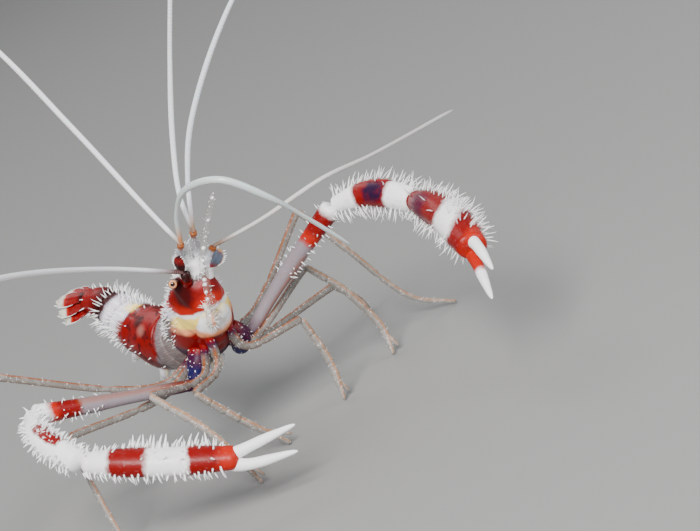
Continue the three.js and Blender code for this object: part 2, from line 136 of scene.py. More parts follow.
class Path:
    """A smooth curve through points, the same centripetal curve as the solids follow."""

    def __init__(self, *points):
        self.points = [Vector(p) for p in points]

    def at(self, t):
        p = self.points
        place = min(max(t, 0.0), 1.0) * (len(p) - 1)
        i = min(int(place), len(p) - 2)
        s = place - i
        before = p[i - 1] if i else p[0] * 2 - p[1]
        after = p[i + 2] if i + 2 < len(p) else p[-1] * 2 - p[-2]
        a, b = p[i], p[i + 1]
        d0, d1, d2 = [math.sqrt((v - u).length) or 1 for u, v in ((before, a), (a, b), (b, after))]
        leave = ((a - before) / d0 - (b - before) / (d0 + d1) + (b - a) / d1) * d1
        arrive = ((b - a) / d1 - (after - a) / (d1 + d2) + (after - b) / d2) * d1
        cubic = a * 2 - b * 2 + leave + arrive
        square = b * 3 - a * 3 - leave * 2 - arrive
        return a + leave * s + square * s * s + cubic * s**3

    def way(self, t):
        step = 0.002
        return (self.at(t + step) - self.at(t - step)).normalized()

    def length(self):
        stops = [self.at(i / 40) for i in range(41)]
        return sum((b - a).length for a, b in zip(stops, stops[1:]))

    def frame_at(self, t, up):
        """The curve's point, and the directions across, up and along there."""
        along = self.way(t)
        side = Vector(up).cross(along).normalized()
        return self.at(t), side, along.cross(side), along


# %% The sweep and the spine
UPRIGHT = (0, 0, 1)


def new_piece():
    bm = bmesh.new()
    bm.verts.layers.float_vector.new("run")
    bm.verts.layers.float.new("tip")
    return bm


def pour(small, bm):
    """Adds a small mesh to a big one. Operators on a small mesh are quick."""
    mesh = bpy.data.meshes.new("pour")
    small.to_mesh(mesh)
    small.free()
    bm.from_mesh(mesh)
    bpy.data.meshes.remove(mesh)


def sweep(bm, path, ring, around=20, along=32, up=UPRIGHT, dome=(0.5, 0.5), run=(0, 1)):
    """Bends a ball of rings along the path. ring(t, angle) gives half width and half height."""
    run_layer = bm.verts.layers.float_vector["run"]
    ball = bmesh.ops.create_uvsphere(bm, u_segments=around, v_segments=along, radius=1)
    length = path.length()
    for v in ball["verts"]:
        t = (1 + v.co.z) / 2
        angle = math.atan2(v.co.y, v.co.x)
        near_start = min(t * length / max(dome[0], 1e-4), 1)
        near_end = min((1 - t) * length / max(dome[1], 1e-4), 1)
        closing = math.sqrt(max(1 - (1 - near_start) ** 2, 0)) * math.sqrt(max(1 - (1 - near_end) ** 2, 0))
        wide, high = ring(t, angle)
        at, side, top, _ = path.frame_at(t, up)
        v.co = at + (side * math.cos(angle) * wide + top * math.sin(angle) * high) * closing
        v[run_layer] = Vector((mix(run[0], run[1], t), math.cos(angle), math.sin(angle)))


def round_ring(radius, flat=1.0):
    return lambda t, angle: (radius(t), radius(t) * flat)


def spine(bm, root, way, length, radius, run, bend=(0, 0), around=5):
    """A tapering spine with its root sunk in the shell. bend pushes its tip to two sides."""
    run_layer = bm.verts.layers.float_vector["run"]
    tip_layer = bm.verts.layers.float["tip"]
    way = Vector(way).normalized()
    side = way.orthogonal().normalized()
    top = way.cross(side)
    lean = (side * bend[0] + top * bend[1]) * length
    ball = bmesh.ops.create_uvsphere(bm, u_segments=around, v_segments=5, radius=1)
    for v in ball["verts"]:
        reach = (1 + v.co.z) / 2
        width = radius * max(1 - reach**1.5, 0) ** 0.8
        off_axis = math.hypot(v.co.x, v.co.y)
        x, y = (v.co.x / off_axis, v.co.y / off_axis) if off_axis > 0.01 else (0, 0)
        middle = root + way * (length * reach - radius * 0.7) + lean * reach**2
        v.co = middle + (side * x + top * y) * width
        v[run_layer] = Vector(run)
        v[tip_layer] = reach


def spines_on(bm, path, ring, up, rows, t_range, length, radius, lean=0.4, keep=None, run=(0, 1), curl=0.3):
    """Rows of spines round a swept piece, with an uneven, natural spacing."""
    low, high = t_range
    jitter = 0.35
    count = max(int(path.length() * (high - low) / rows[1]), 1)
    for row in range(rows[0]):
        tuft = new_piece()
        for i in range(count):
            t = mix(low, high, (i + 0.5 * (row % 2) + random.uniform(-jitter, jitter)) / count)
            angle = 2 * math.pi * (row + 0.5 + random.uniform(-jitter, jitter)) / rows[0]
            size = random.uniform(0.65, 1.15)
            if not 0 < t < 1 or (keep and not keep(t, angle)):
                continue
            at, side, top, forward = path.frame_at(t, up)
            wide, tall = ring(t, angle)
            out = side * math.cos(angle) * wide + top * math.sin(angle) * tall
            normal = (side * math.cos(angle) / wide + top * math.sin(angle) / tall).normalized()
            way = normal + forward * (lean + random.uniform(-0.3, 0.3))
            there = (mix(run[0], run[1], t), math.cos(angle), math.sin(angle))
            bend = (random.uniform(-curl, curl), random.uniform(-curl, curl))
            spine(tuft, at + out * 0.98, way, length * size, radius, there, bend)
        pour(tuft, bm)


def finish_piece(name, bm, material, replaced):
    """Turns the work into a piece of the shrimp that stands for its solids."""
    bm.transform(TO_FRAME)
    mesh = bpy.data.meshes.new(name)
    bm.to_mesh(mesh)
    bm.free()
    mesh.shade_smooth()
    piece = bpy.data.objects.new(name, mesh)
    bpy.context.scene.collection.objects.link(piece)
    mesh.materials.append(material)
    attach(piece, "root")
    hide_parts(*replaced)
    print(f"{name}: {len(mesh.polygons)} faces")


# %% [markdown]
# ## Writing materials as sums
# A material is easier to read as an expression than as a list of links. `Sum` wraps a socket,
# so that `1 - mask * 0.4` adds the Math nodes by itself, and `node` adds any other node.

# %% The shader sums


class Sum:
    """A shader socket that can be added, multiplied and compared."""

    def __init__(self, tree, socket):
        self.tree, self.socket = tree, socket

    def math(self, operation, *others):
        return node(self.tree, "ShaderNodeMath", {"operation": operation}, dict(enumerate([self, *others])))

    def __add__(self, other):
        return self.math("ADD", other)

    def __mul__(self, other):
        return self.math("MULTIPLY", other)

    def __sub__(self, other):
        return self.math("SUBTRACT", other)

    def __rsub__(self, other):
        return node(self.tree, "ShaderNodeMath", {"operation": "SUBTRACT"}, {0: other, 1: self})

    __radd__ = __add__
    __rmul__ = __mul__

    def clamp(self):
        return self.math("MAXIMUM", 0.0).math("MINIMUM", 1.0)


def node(tree, kind, settings=None, sockets=None, out=0):
    """Adds a node, sets it, fills its sockets with values or links, and returns one output."""
    made = tree.nodes.new(kind)
    for key, value in (settings or {}).items():
        if key == "stops":
            ramp = made.color_ramp
            while len(ramp.elements) < len(value):
                ramp.elements.new(0.5)
            for stop, (place, colour) in zip(ramp.elements, value):
                stop.position = place
                stop.color = (*colour, 1)
        else:
            setattr(made, key, value)
    for key, value in (sockets or {}).items():
        if isinstance(value, Sum):
            tree.links.new(value.socket, made.inputs[key])
        else:
            made.inputs[key].default_value = value
    return Sum(tree, made.outputs[out])


def smooth(value, low, high):
    """0 below low, 1 above high and a smooth step between."""
    sockets = {"Value": value, "From Min": low, "From Max": high}
    return node(value.tree, "ShaderNodeMapRange", {"interpolation_type": "SMOOTHSTEP"}, sockets)


def blend(mask, a, b):
    """Colour a where the mask is 0 and b where it is 1. Colours are tuples or sums."""
    tree = mask.tree
    made = tree.nodes.new("ShaderNodeMix")
    made.data_type = "RGBA"
    tree.links.new(mask.socket, made.inputs["Factor"])
    for socket, colour in ((made.inputs[6], a), (made.inputs[7], b)):
        if isinstance(colour, Sum):
            tree.links.new(colour.socket, socket)
        else:
            socket.default_value = (*colour, 1)
    return Sum(tree, made.outputs[2])


def new_material(name, **constants):
    """A new material, its tree and its shader, with constant values set on the shader."""
    material = bpy.data.materials.new(name)
    material.use_nodes = True
    tree = material.node_tree
    shader = tree.nodes["Principled BSDF"]
    for socket, value in constants.items():
        shader.inputs[socket.replace("_", " ")].default_value = value
    return material, tree, shader


def feed(tree, shader, **sums):
    for socket, value in sums.items():
        tree.links.new(value.socket, shader.inputs[socket.replace("_", " ")])


def grain(tree, scale, detail=3.0, distort=0.0):
    """Noise in the animal's own metres, the same on every piece."""
    place = node(tree, "ShaderNodeTexCoord", out=3)
    sockets = {"Vector": place, "Scale": scale, "Detail": detail, "Distortion": distort}
    return node(tree, "ShaderNodeTexNoise", {}, sockets)


def runs(tree):
    """Along, across and height, as each point's `run` attribute holds them, and the spine tip."""
    at = node(tree, "ShaderNodeAttribute", {"attribute_name": "run"}, out=1)
    split = at.tree.nodes.new("ShaderNodeSeparateXYZ")
    tree.links.new(at.socket, split.inputs[0])
    tip = node(tree, "ShaderNodeAttribute", {"attribute_name": "tip"}, out=2)
    return [Sum(tree, split.outputs[i]) for i in range(3)] + [tip]


def spot(tree, centre, radius, soft=0.4):
    """1 near a place on the animal and 0 away from it, with a ragged edge."""
    place = node(tree, "ShaderNodeTexCoord", out=3)
    sockets = {0: place, 1: TO_FRAME @ Vector(centre)}
    far = node(tree, "ShaderNodeVectorMath", {"operation": "DISTANCE"}, sockets, out=1)
    ragged = far * 1000.0 + (grain(tree, 2200, 3) - 0.5) * radius * 0.5
    return 1 - smooth(ragged, radius * (1 - soft), radius * (1 + soft))


def bump(tree, height, strength, distance=0.00005):
    return node(tree, "ShaderNodeBump", {}, {"Height": height, "Strength": strength, "Distance": distance})


# %% [markdown]
# ## Colours
# The reds run from near black to scarlet, the whites are milky and a little blue or yellow,
# and the clear shell shows grey and pink flesh below it. They are named once and used all over.
# Bands could be painted in an image. Here a colour ramp reads `run`, so a band goes round its
# piece with a crisp edge at any distance, and noise makes the edge and the red uneven.

# %% The colours
CRIMSON = (0.2, 0.0008, 0.001)
DARK_RED = (0.03, 0.0005, 0.001)
SCARLET = (0.42, 0.01, 0.001)
MILK = (0.9, 0.89, 0.89)
LILAC = (0.66, 0.61, 0.72)
CREAM = (1, 0.74, 0.17)
PEACH = (0.85, 0.33, 0.16)
CLEAR = (0.15, 0.115, 0.11)
GLASS = (0.19, 0.17, 0.15)
RUST = (0.3, 0.075, 0.01)
PLUM = (0.045, 0.002, 0.03)
BLUE = (0.009, 0.008, 0.07)
WHITE = (0.95, 0.95, 0.96)
WET = {
    "Roughness": 0.42,
    "Coat_Weight": 0.06,
    "Coat_Roughness": 0.15,
    "Specular_IOR_Level": 0.2,
    "Subsurface_Weight": 0.06,
    "Subsurface_Scale": 0.0004,
}


def bands(tree, along, stops, ragged=0.03, scale=900):
    """Coloured bands along a piece, with edges as uneven as pigment in a real shell."""
    wander = (grain(tree, scale, 4) - 0.5) * ragged * 2
    return node(tree, "ShaderNodeValToRGB", {"stops": stops}, {"Fac": along + wander})


def steps(*pairs):
    """Ramp stops from (start, end, colour) bands: flat colour with a short soft edge."""
    stops = []
    for start, end, colour in pairs:
        stops += [(start, colour), (end, colour)]
    return stops


def shell(name, stops, ragged=0.03, mottle=0.25, slant=0.0, paint=None, **extra):
    """Banded shell: pigment bands along the piece, mottled, with pale spines."""
    material, tree, shader = new_material(name, **{**WET, **extra})
    along, across, height, tip = runs(tree)
    colour = bands(tree, along + across * slant, stops, ragged)
    spots = smooth(grain(tree, 1500, 4, 0.4), 0.52, 0.68)
    colour = blend(spots * mottle, colour, (0.16, 0.03, 0.03))
    veil = smooth(grain(tree, 2600, 2), 0.6, 0.75)
    colour = blend(veil * 0.06, colour, MILK)
    if paint:
        colour = paint(tree, colour, along, across, height)
    colour = blend(smooth(tip, 0.02, 0.3), colour, WHITE)
    relief = grain(tree, 5200, 3) * 0.6 + grain(tree, 1200, 2)
    feed(tree, shader, Base_Color=colour, Normal=bump(tree, relief, 0.6), Roughness=spots * 0.15 + 0.4)
    return material


print("every wet shell sets", ", ".join(WET))

# %% [markdown]
# ## The carapace
# One shield covers head and thorax. It is widest at the gills, low on the sides, and narrows
# to the eyes. A shallow groove runs over it behind the head, and its rear rim is raised. Fine
# spines lean forward on its rear and its nape. Above, the shell is clear and grey up to a
# lilac edge, and crimson in front of it. Low on the sides plum, crimson, peach and cream come
# first. So there are two colour ramps along the piece, one above and one below. The white and
# pink patches between the eyes are spots at known places. So are the dark patches beside the
# eyes, which are painted shade.

# %% Build the carapace
THORAX_UP = body_way(0, 0, 1)
BROW = body(15.2, 0.05, 0.05)
# Places of the painted shade beside the right and the left eye.
EYE_SHADE_R = (9.3, -2.2, 22.3)
EYE_SHADE_L = (11.5, 0.5, 20.9)
THORAX = Path(body(-1.4, 0, 0), body(13.2, 0, 0.3))
thorax_width = through(0.72, 0.96, 1, 0.94, 0.8, 0.62, 0.34)
thorax_above = through(0.74, 0.97, 1, 0.95, 0.84, 0.66, 0.4)
thorax_below = through(0.5, 0.9, 1, 1, 0.96, 0.8, 0.42)
HALF_WIDTH, ABOVE, BELOW = 3.9, 2.4, 5.8


def thorax_ring(t, angle):
    upper = math.sin(angle) > 0
    cheek = 1 if upper else 1 + 0.14 * math.sin(2 * abs(angle)) ** 2
    groove = 1 - 0.05 * math.exp(-(((t - 0.6 - 0.06 * math.sin(angle)) / 0.018) ** 2))
    rear_rim = 1 + 0.03 * math.exp(-(((t - 0.035) / 0.02) ** 2))
    high = ABOVE * thorax_above(t) if upper else BELOW * thorax_below(t)
    return HALF_WIDTH * thorax_width(t) * cheek * groove * rear_rim, high * groove * rear_rim


def carapace_material():
    material, tree, shader = new_material("carapace_shell", **WET)
    along, across, height, tip = runs(tree)
    under = (height * -1.0).clamp()
    slanted = along - under * 0.3 + (grain(tree, 700, 4) - 0.5) * 0.07
    back_stops = steps((0, 0.45, CLEAR), (0.52, 0.57, LILAC), (0.6, 1, SCARLET))
    back = node(tree, "ShaderNodeValToRGB", {"stops": back_stops}, {"Fac": slanted})
    cheek_stops = steps(
        (0, 0.06, PLUM),
        (0.12, 0.31, CRIMSON),
        (0.36, 0.39, PEACH),
        (0.43, 0.52, CREAM),
        (0.55, 0.57, MILK),
        (0.59, 1, SCARLET),
    )
    cheek = node(tree, "ShaderNodeValToRGB", {"stops": cheek_stops}, {"Fac": slanted})
    colour = blend(smooth(under, 0.08, 0.3), back, cheek)
    deep = smooth(slanted, 0.62, 0.69)
    colour = blend(deep, colour, CRIMSON)
    # Painted shade: dark red spots beside the eyes and patchy painted shadow darken the red face.
    eye_shade = spot(tree, EYE_SHADE_R, 1.7) + spot(tree, EYE_SHADE_L, 0.8)
    shadow = smooth(grain(tree, 420, 2), 0.52, 0.7) * 0.35
    colour = blend((eye_shade * 0.85 + shadow).clamp() * deep, colour, DARK_RED)
    glow = smooth(grain(tree, 900, 3), 0.55, 0.75)
    colour = blend(glow * deep * 0.3, colour, SCARLET)
    pink = spot(tree, body(14.3, 0.1, -1.2), 1.3) * 0.7
    colour = blend(pink, colour, (0.75, 0.25, 0.28))
    colour = blend(spot(tree, body(14.2, -0.1, 0.1), 1.35), colour, WHITE)
    colour = blend(smooth(tip, 0.02, 0.3), colour, WHITE)
    relief = grain(tree, 4200, 3) * 0.5 + grain(tree, 1000, 2)
    feed(tree, shader, Base_Color=colour, Normal=bump(tree, relief, 0.5), Roughness=glow * 0.1 + 0.42)
    return material


def rear_half(t, angle):
    return math.sin(angle) > -0.35 and t < 0.66


def nape(t, angle):
    return math.sin(angle) > 0.35


def build_carapace():
    bm = new_piece()
    sweep(bm, THORAX, thorax_ring, 64, 72, THORAX_UP, dome=(0.7, 0.7))
    spines_on(bm, THORAX, thorax_ring, THORAX_UP, (30, 0.6), (0.05, 0.7), 0.75, 0.085, 0.5, keep=rear_half)
    spines_on(bm, THORAX, thorax_ring, THORAX_UP, (26, 0.45), (0.66, 0.985), 0.9, 0.11, 0.6, keep=nape)
    for left in (-1, 1):
        tuft = new_piece()
        for i in range(15):
            t = mix(0.14, 0.64, i / 14)
            at, side, top, forward = THORAX.frame_at(t, THORAX_UP)
            edge = at + side * left * thorax_ring(t, 0)[0] * 0.97 + top * (0.4 * math.sin(i * 1.7))
            spine(tuft, edge, side * left + forward * 0.4, 0.95, 0.1, (t, left, 0), (0.1, 0.2))
        pour(tuft, bm)
    finish_piece("carapace_shell", bm, carapace_material(), ["carapace"])


build_carapace()

# %% [markdown]
# ## The underside of the thorax
# Below the shield the legs stand in two rows on a narrow plate, one low ridge for each pair.
# Nobody sees much of it, so a ripple in the ring's height makes all the ridges at once.

# %% Build the sternum
STERNUM = Path(body(-0.9, 0, -3.6), body(5, 0, -4.2), body(11.2, 0, -3.6))


def sternum_ring(t, angle):
    ripple = 1 + 0.07 * math.sin(t * 2 * math.pi * 6)
    return 2.5 * through(0.6, 1, 1, 0.95, 0.55)(t), 1.75 * ripple * through(0.5, 1, 1, 1, 0.6)(t)


def build_sternum():
    bm = new_piece()
    sweep(bm, STERNUM, sternum_ring, 32, 60, THORAX_UP, dome=(0.8, 1.2))
    mouth_stops = ((0.69, 0.72, PEACH), (0.78, 0.9, MILK), (0.97, 1, CREAM))
    stops = steps((0, 0.3, PLUM), (0.38, 0.63, CRIMSON), *mouth_stops)
    look = shell("underside_shell", stops, ragged=0.05)
    finish_piece("sternum_plate", bm, look, ["sternum"])


build_sternum()

# %% [markdown]
# ## The rostrum
# A short toothed beak runs on from the back of the carapace between the eyes, snow white
# and set with upright teeth. Finer spikes fan out at its sides, and a white cushion below it
# makes the brow. All of it is one finish, so it is swept and joined in one mesh.

# %% Build the rostrum
ROSTRUM = Path(body(11.6, 0, 1.1), body(14.4, 0, 1.6), body(17.6, 0, 1.9))


def build_rostrum():
    bm = new_piece()
    ring = round_ring(through(1.05, 0.8, 0.26))
    sweep(bm, ROSTRUM, ring, 24, 32, dome=(0.5, 0.5))
    for i in range(6):
        t = mix(0.1, 0.84, i / 5)
        tooth_way = THORAX_UP + body_way(1, 0, 0) * 0.6
        spine(bm, ROSTRUM.at(t) + THORAX_UP * 0.35, tooth_way, mix(1.5, 0.8, t), 0.2, (t, 0, 1))
    for left in (-1, 1):
        for i in range(7):
            t = mix(0.05, 0.9, i / 6)
            root = ROSTRUM.at(t) + Vector((0, left, 0)) * mix(0.8, 0.25, t)
            spine(bm, root, body_way(0.9, left, 0.35 + 0.3 * (i % 2)), 0.95, 0.13, (t, left, 0.3))
    spines_on(bm, ROSTRUM, ring, UPRIGHT, (11, 0.45), (0.02, 0.9), 0.6, 0.13, 0.9)
    brow = Path(body(13, 0.05, 0.1), body(14.2, 0.1, 0.05), body(15.4, 0.15, 0))
    brow_ring = round_ring(through(0.9, 1.22, 1.15, 0.8))
    sweep(bm, brow, brow_ring, 32, 32, THORAX_UP, dome=(0.6, 1.0))
    spines_on(bm, brow, brow_ring, THORAX_UP, (16, 0.45), (0.1, 0.95), 0.5, 0.11, 1.0)
    stops = steps((0, 0.75, WHITE), (0.85, 1, MILK))
    finish_piece("rostrum_beak", bm, shell("rostrum_shell", stops, mottle=0.0), ["rostrum"])


build_rostrum()

# %% [markdown]
# ## Eyes
# Each eye is a dark glossy ball on a short stalk, with a wide orange ring round a black
# centre. The ball is swept along its own line of sight, so that `run` gives the rings, and no
# picture has to be wrapped over a sphere.

# %% Build the eyes on their stalks

EYE_BACK = (0.03, 0.002, 0.002)
EYE_RING = (0.95, 0.45, 0.2)
PUPIL = (0.012, 0.001, 0.001)


def eye_material():
    material, tree, shader = new_material("eye_gloss", Roughness=0.08, Coat_Weight=1.0, Coat_Roughness=0.03)
    along = runs(tree)[0]
    fleck = (grain(tree, 6000, 3) - 0.5) * 0.06
    stops = steps(
        (0, 0.72, EYE_BACK),
        (0.78, 0.8, RUST),
        (0.82, 0.93, EYE_RING),
        (0.95, 0.955, RUST),
        (0.965, 1, PUPIL),
    )
    colour = node(tree, "ShaderNodeValToRGB", {"stops": stops}, {"Fac": along + fleck})
    place = node(tree, "ShaderNodeTexCoord", out=3)
    facets = node(tree, "ShaderNodeTexVoronoi", {}, {"Vector": place, "Scale": 14000.0})
    feed(tree, shader, Base_Color=colour, Normal=bump(tree, facets, 0.12, 0.00002))
    return material


EYE_GLOSS = eye_material()
STALK_SHELL = shell("stalk_shell", steps((0, 0.3, CRIMSON), (0.5, 1, DARK_RED)))
for side, left in (("l", 1), ("r", -1)):
    centre = body(EYE_ALONG, left * EYE_OUT, EYE_DORSAL)
    look = Vector((0.82, left * 0.5, 0.26)).normalized() * EYE_RADIUS
    bm = new_piece()
    ball = round_ring(through(EYE_RADIUS, EYE_RADIUS))
    sweep(bm, Path(centre - look, centre + look), ball, 32, 32, dome=(EYE_RADIUS, EYE_RADIUS))
    finish_piece("eyeball_" + side, bm, EYE_GLOSS, ["eye_" + side])
    bm = new_piece()
    stalk = Path(body(EYE_ALONG - 0.7, left * 1.2, 0.3), centre - look * 0.35)
    sweep(bm, stalk, round_ring(through(0.52, 0.45, 0.55, 0.6)), 24, 20, dome=(0.1, 0.3))
    finish_piece("eye_stem_" + side, bm, STALK_SHELL, ["eye_stalk_" + side])

# %% [markdown]
# ## Feelers and what carries them
# Two antennules, each with two feelers, rise between the eyes, and the longer antennae stand
# outside them beside a leaf-like scale. Every base is three short joints, each swelling at
# its far end. The feelers are finely ringed white or greyish tubes, darker at the root. A
# bevelled curve would make such a tube too, but a sweep also gives `run`, and a sine of it
# makes hundreds of rings with no extra faces.

# %% Build the feeler bases
PEDUNCLES = {
    "antennule_base_r": (body(12.6, -1, 0.3), (11.6, -1.3, 26.4), (14.3, -1.4, 28.6)),
    "antennule_base_l": (body(12.6, 1, 0.3), (12.3, 0.9, 26.6), (15.9, -0.1, 29.4)),
    "antenna_base_r": (body(12.4, -1.2, -0.6), (11.8, -1.6, 24.4), (12.5, -2, 25.2)),
    "antenna_base_l": (body(12.2, 1.4, -1.2), (11.4, 1.9, 24.4), (12.6, 2.8, 25.8)),
}


def brow_paint(tree, colour, along, across, height):
    """The lower ends of the bases share the white of the brow."""
    return blend(spot(tree, BROW, 1.6), colour, WHITE)


SMOKE = (0.5, 0.51, 0.55)
BASE_STOPS = steps((0, 0.3, MILK), (0.5, 0.85, SMOKE), (0.93, 1, RUST))
BASE_SHELL = shell("feeler_base_shell", BASE_STOPS, mottle=0.08, paint=brow_paint, Alpha=0.9)
RED_BASE = shell("feeler_base_red", steps((0, 0.3, CRIMSON), (0.5, 1, DARK_RED)), mottle=0.1)


def jointed(radius, joints, swell=0.14):
    """A radius that swells towards the far end of each joint."""

    def value(t):
        part = (t * joints) % 1
        waist = 0.35 * math.exp(-((part / 0.05) ** 2)) * (t > 0.05)
        return radius(t) * (1 - swell * 0.5 + swell * part**2 - waist)

    return value


for name, points in PEDUNCLES.items():
    thick = (0.6, 0.5, 0.4) if "antennule" in name else (0.6, 0.6, 0.42)
    ring = round_ring(jointed(through(*thick), 3))
    bm = new_piece()
    path = Path(*points)
    sweep(bm, path, ring, 24, 48, dome=(0.2, 0.15))
    if name != "antenna_base_r":
        spines_on(bm, path, ring, UPRIGHT, (7, 0.8), (0.25, 0.95), 0.32, 0.06, 0.8)
    look = RED_BASE if name == "antenna_base_r" else BASE_SHELL
    finish_piece(name.replace("base", "stem"), bm, look, [name])

# %% Build the antennal scales and a blade to use again


def blade_ring(half_width, thickness, rib=0.5):
    """A leaf's section: thin, widest past the middle, with a raised midrib."""
    width = through(0.3, 0.75, 1, 0.85, 0.3)

    def ring(t, angle):
        ridge = 1 + rib * math.exp(-((math.cos(angle) / 0.16) ** 2))
        return half_width * width(t), thickness / 2 * ridge

    return ring


PLATE = 0.5
SCALES = {
    "r": (((12, -2, 24.9), (13.3, -2.3, 26.4), (14.1, -2.3, 27.5)), 0.7, (0.6, -0.8, 0.1)),
    "l": (((11.5, 1.8, 23.7), (12.3, 2.5, 24.4), (12.9, 3.4, 25.1)), 0.9, (0.9, -0.4, 0.3)),
}


def tan_edge(tree, colour, along, across, height):
    """A tan line round the blade's rim."""
    return blend(smooth(across.math("ABSOLUTE"), 0.8, 0.97) * 0.8, colour, AMBER)


BLUE_GREY = (0.08, 0.105, 0.15)
AMBER = (0.55, 0.3, 0.12)
CLEAR_SCALE = steps((0, 0.12, CRIMSON), (0.3, 0.9, BLUE_GREY), (0.9, 1, AMBER))
RED_SCALE = steps((0, 0.5, DARK_RED), (0.7, 0.85, CRIMSON), (0.95, 1, DARK_RED))
SCALE_LOOKS = {
    "l": shell("scale_clear", CLEAR_SCALE, mottle=0.4, paint=tan_edge, Alpha=0.85),
    "r": shell("scale_red", RED_SCALE, mottle=0.1, Alpha=0.9),
}
for side, (points, half, up) in SCALES.items():
    bm = new_piece()
    path = Path(*points)
    ring = blade_ring(half, PLATE)
    sweep(bm, path, ring, 32, 40, up, dome=(0.3, 0.6))
    for edge in (-1, 1):
        for i in range(9):
            t = mix(0.25, 0.95, i / 8)
            at, across, _, forward = path.frame_at(t, up)
            root = at + across * edge * ring(t, 0)[0] * 0.95
            spine(bm, root, across * edge + forward * 1.2, 0.5, 0.07, (0.9, edge, 0))
    finish_piece("antennal_blade_" + side, bm, SCALE_LOOKS[side], ["antennal_scale_" + side])

# %% Build the six feelers
RIGHT_STEM_END = (14.3, -1.4, 28.6)
LEFT_STEM_END = (15.9, -0.1, 29.4)
ARCH = [(17, -1.5, 32.2), (21.7, -1.3, 35.3), (27.4, 0.4, 35.4), (28.4, 4, 31.2), (26.4, 8, 26.4)]
FEELERS = {
    "antenna_r": [(12.5, -2, 25.2), (18.6, -13.2, 32.2), (34, -30, 41), (50, -44, 46), (64, -52, 45)],
    "antenna_l": [(12.6, 2.8, 25.8), (12.6, 10, 25.3), (12.8, 19, 25.4), (10, 28, 23.7), (2, 46, 20.5)],
    "antennule_upper_r": [
        RIGHT_STEM_END, (13.5, -2.6, 33.5), (12.6, -5.8, 46.2), (12, -10, 60), (10, -17, 74),
    ],
    "antennule_lower_r": [RIGHT_STEM_END, *ARCH, (24, 12.8, 20)],
    "antennule_upper_l": [LEFT_STEM_END, (17, 0, 34), (18.6, 1.6, 40), (22.7, 3.9, 48.7), (31, 7, 62)],
    "antennule_lower_l": [
        LEFT_STEM_END, (18.2, 1.4, 35.6), (21.4, 3.6, 41.6), (30, 10.9, 52.4), (42, 22, 62),
    ],
}
FEELER_RADIUS = 0.29


def feeler_material(name, root, shaft):
    soft = {"Subsurface_Weight": 0.2, "Subsurface_Scale": 0.0006}
    material, tree, shader = new_material(name, Roughness=0.35, Coat_Weight=0.3, **soft)
    along, across, height, tip = runs(tree)
    stops = steps((0, 0.03, root), (0.12, 1, shaft))
    colour = node(tree, "ShaderNodeValToRGB", {"stops": stops}, {"Fac": along})
    rings = (along * 900.0).math("SINE") * 0.5 + 0.5
    colour = blend(rings * 0.22, colour, (0.5, 0.52, 0.56))
    feed(tree, shader, Base_Color=colour, Normal=bump(tree, rings, 0.35, 0.00003))
    return material


BROWN_ROOT = (0.2, 0.085, 0.03)
FEELER_LOOKS = {
    "antenna_r": feeler_material("feeler_bright", (0.12, 0.02, 0.015), (0.96, 0.97, 1)),
    "antenna_l": feeler_material("feeler_brownish", BROWN_ROOT, (0.62, 0.6, 0.57)),
    "antennule_upper_r": feeler_material("feeler_milky", (0.4, 0.36, 0.32), (0.93, 0.95, 0.99)),
    "antennule_lower_r": feeler_material("feeler_sea_grey", (0.62, 0.2, 0.03), (0.56, 0.63, 0.62)),
    "antennule_upper_l": feeler_material("feeler_white", BROWN_ROOT, (0.9, 0.93, 0.97)),
    "antennule_lower_l": feeler_material("feeler_pale", (0.3, 0.16, 0.07), (0.8, 0.85, 0.92)),
}
for name, points in FEELERS.items():
    fat = 1.35 if name == "antennule_lower_r" else 1
    slim = 0.85 if name == "antenna_l" else 1
    swell = (0.9 * slim, slim, 1.1 * fat * slim, 1.1 * fat * slim, 0.9 * slim, 0.84)
    ring = round_ring(through(*[part * FEELER_RADIUS for part in swell]))
    bm = new_piece()
    sweep(bm, Path(*points), ring, 14, 120, (0.5, 0.1, -1), dome=(0.05, 2.5))
    finish_piece("flagellum_" + name, bm, FEELER_LOOKS[name], ["feeler_" + name])

# %% [markdown]
# ## The third maxillipeds
# These are the outermost mouthparts, like a small pair of legs. The left one is raised in
# front of the face, nearly clear with brown edges, and its white dots and white knobs are
# painted glints of light. The right one is folded below and feathered with white bristles.
# Real glass needs flesh inside it and many bounces of light, so the finish lowers the alpha
# of an ordinary wet shell between its marks instead.

# %% Build the maxillipeds
MOUTH_PARTS = {
    "l": (
        [body(9, 1, -4.6), (12.3, -0.6, 18.9), (13.1, -0.7, 21.5), (14.3, 0.4, 26.1), (15.8, 4.5, 32)],
        (0.75, 0.7, 0.62, 0.55, 0.34),
    ),
    "r": ([body(9, -1, -4.6), body(10.8, -1.1, -5.4), body(12.6, -1, -3.6)], (0.6, 0.6, 0.35)),
}


def glassy(name, tint, edge, stops=None, clear=0.5, dots_and_glints=0.7, body_mark=1.0):
    """Clear shell: a pale body with a coloured line along its edges and white dots, painted glints on the
    left maxilliped.
    """
    material, tree, shader = new_material(name, **WET)
    along, across, height, tip = runs(tree)
    line = smooth(height.math("ABSOLUTE"), 0.85, 0.97)
    colour = blend(line * 0.85, tint, edge)
    cloud = smooth(grain(tree, 1100, 3), 0.45, 0.7)
    colour = blend(cloud * 0.14, colour, MILK)
    solid = (line * 0.6 + cloud * 0.25) * body_mark
    if stops:
        hip = 1 - smooth(along + (grain(tree, 900, 3) - 0.5) * 0.06, stops[0], stops[1])
        inner = node(tree, "ShaderNodeValToRGB", {"stops": stops[2]}, {"Fac": along})
        colour = blend(hip, colour, inner)
        solid = solid + hip
    # White dots. At full strength on the left maxilliped they are painted glints of light.
    dots = smooth(grain(tree, 3600, 1), 0.67, 0.7) * dots_and_glints
    colour = blend(dots, colour, WHITE)
    white = smooth(tip, 0.02, 0.3)
    colour = blend(white, colour, WHITE)
    seen = ((solid + dots + white) * (1 - clear) + clear).clamp()
    feed(tree, shader, Base_Color=colour, Alpha=seen, Normal=bump(tree, grain(tree, 4500, 3), 0.35))
    return material


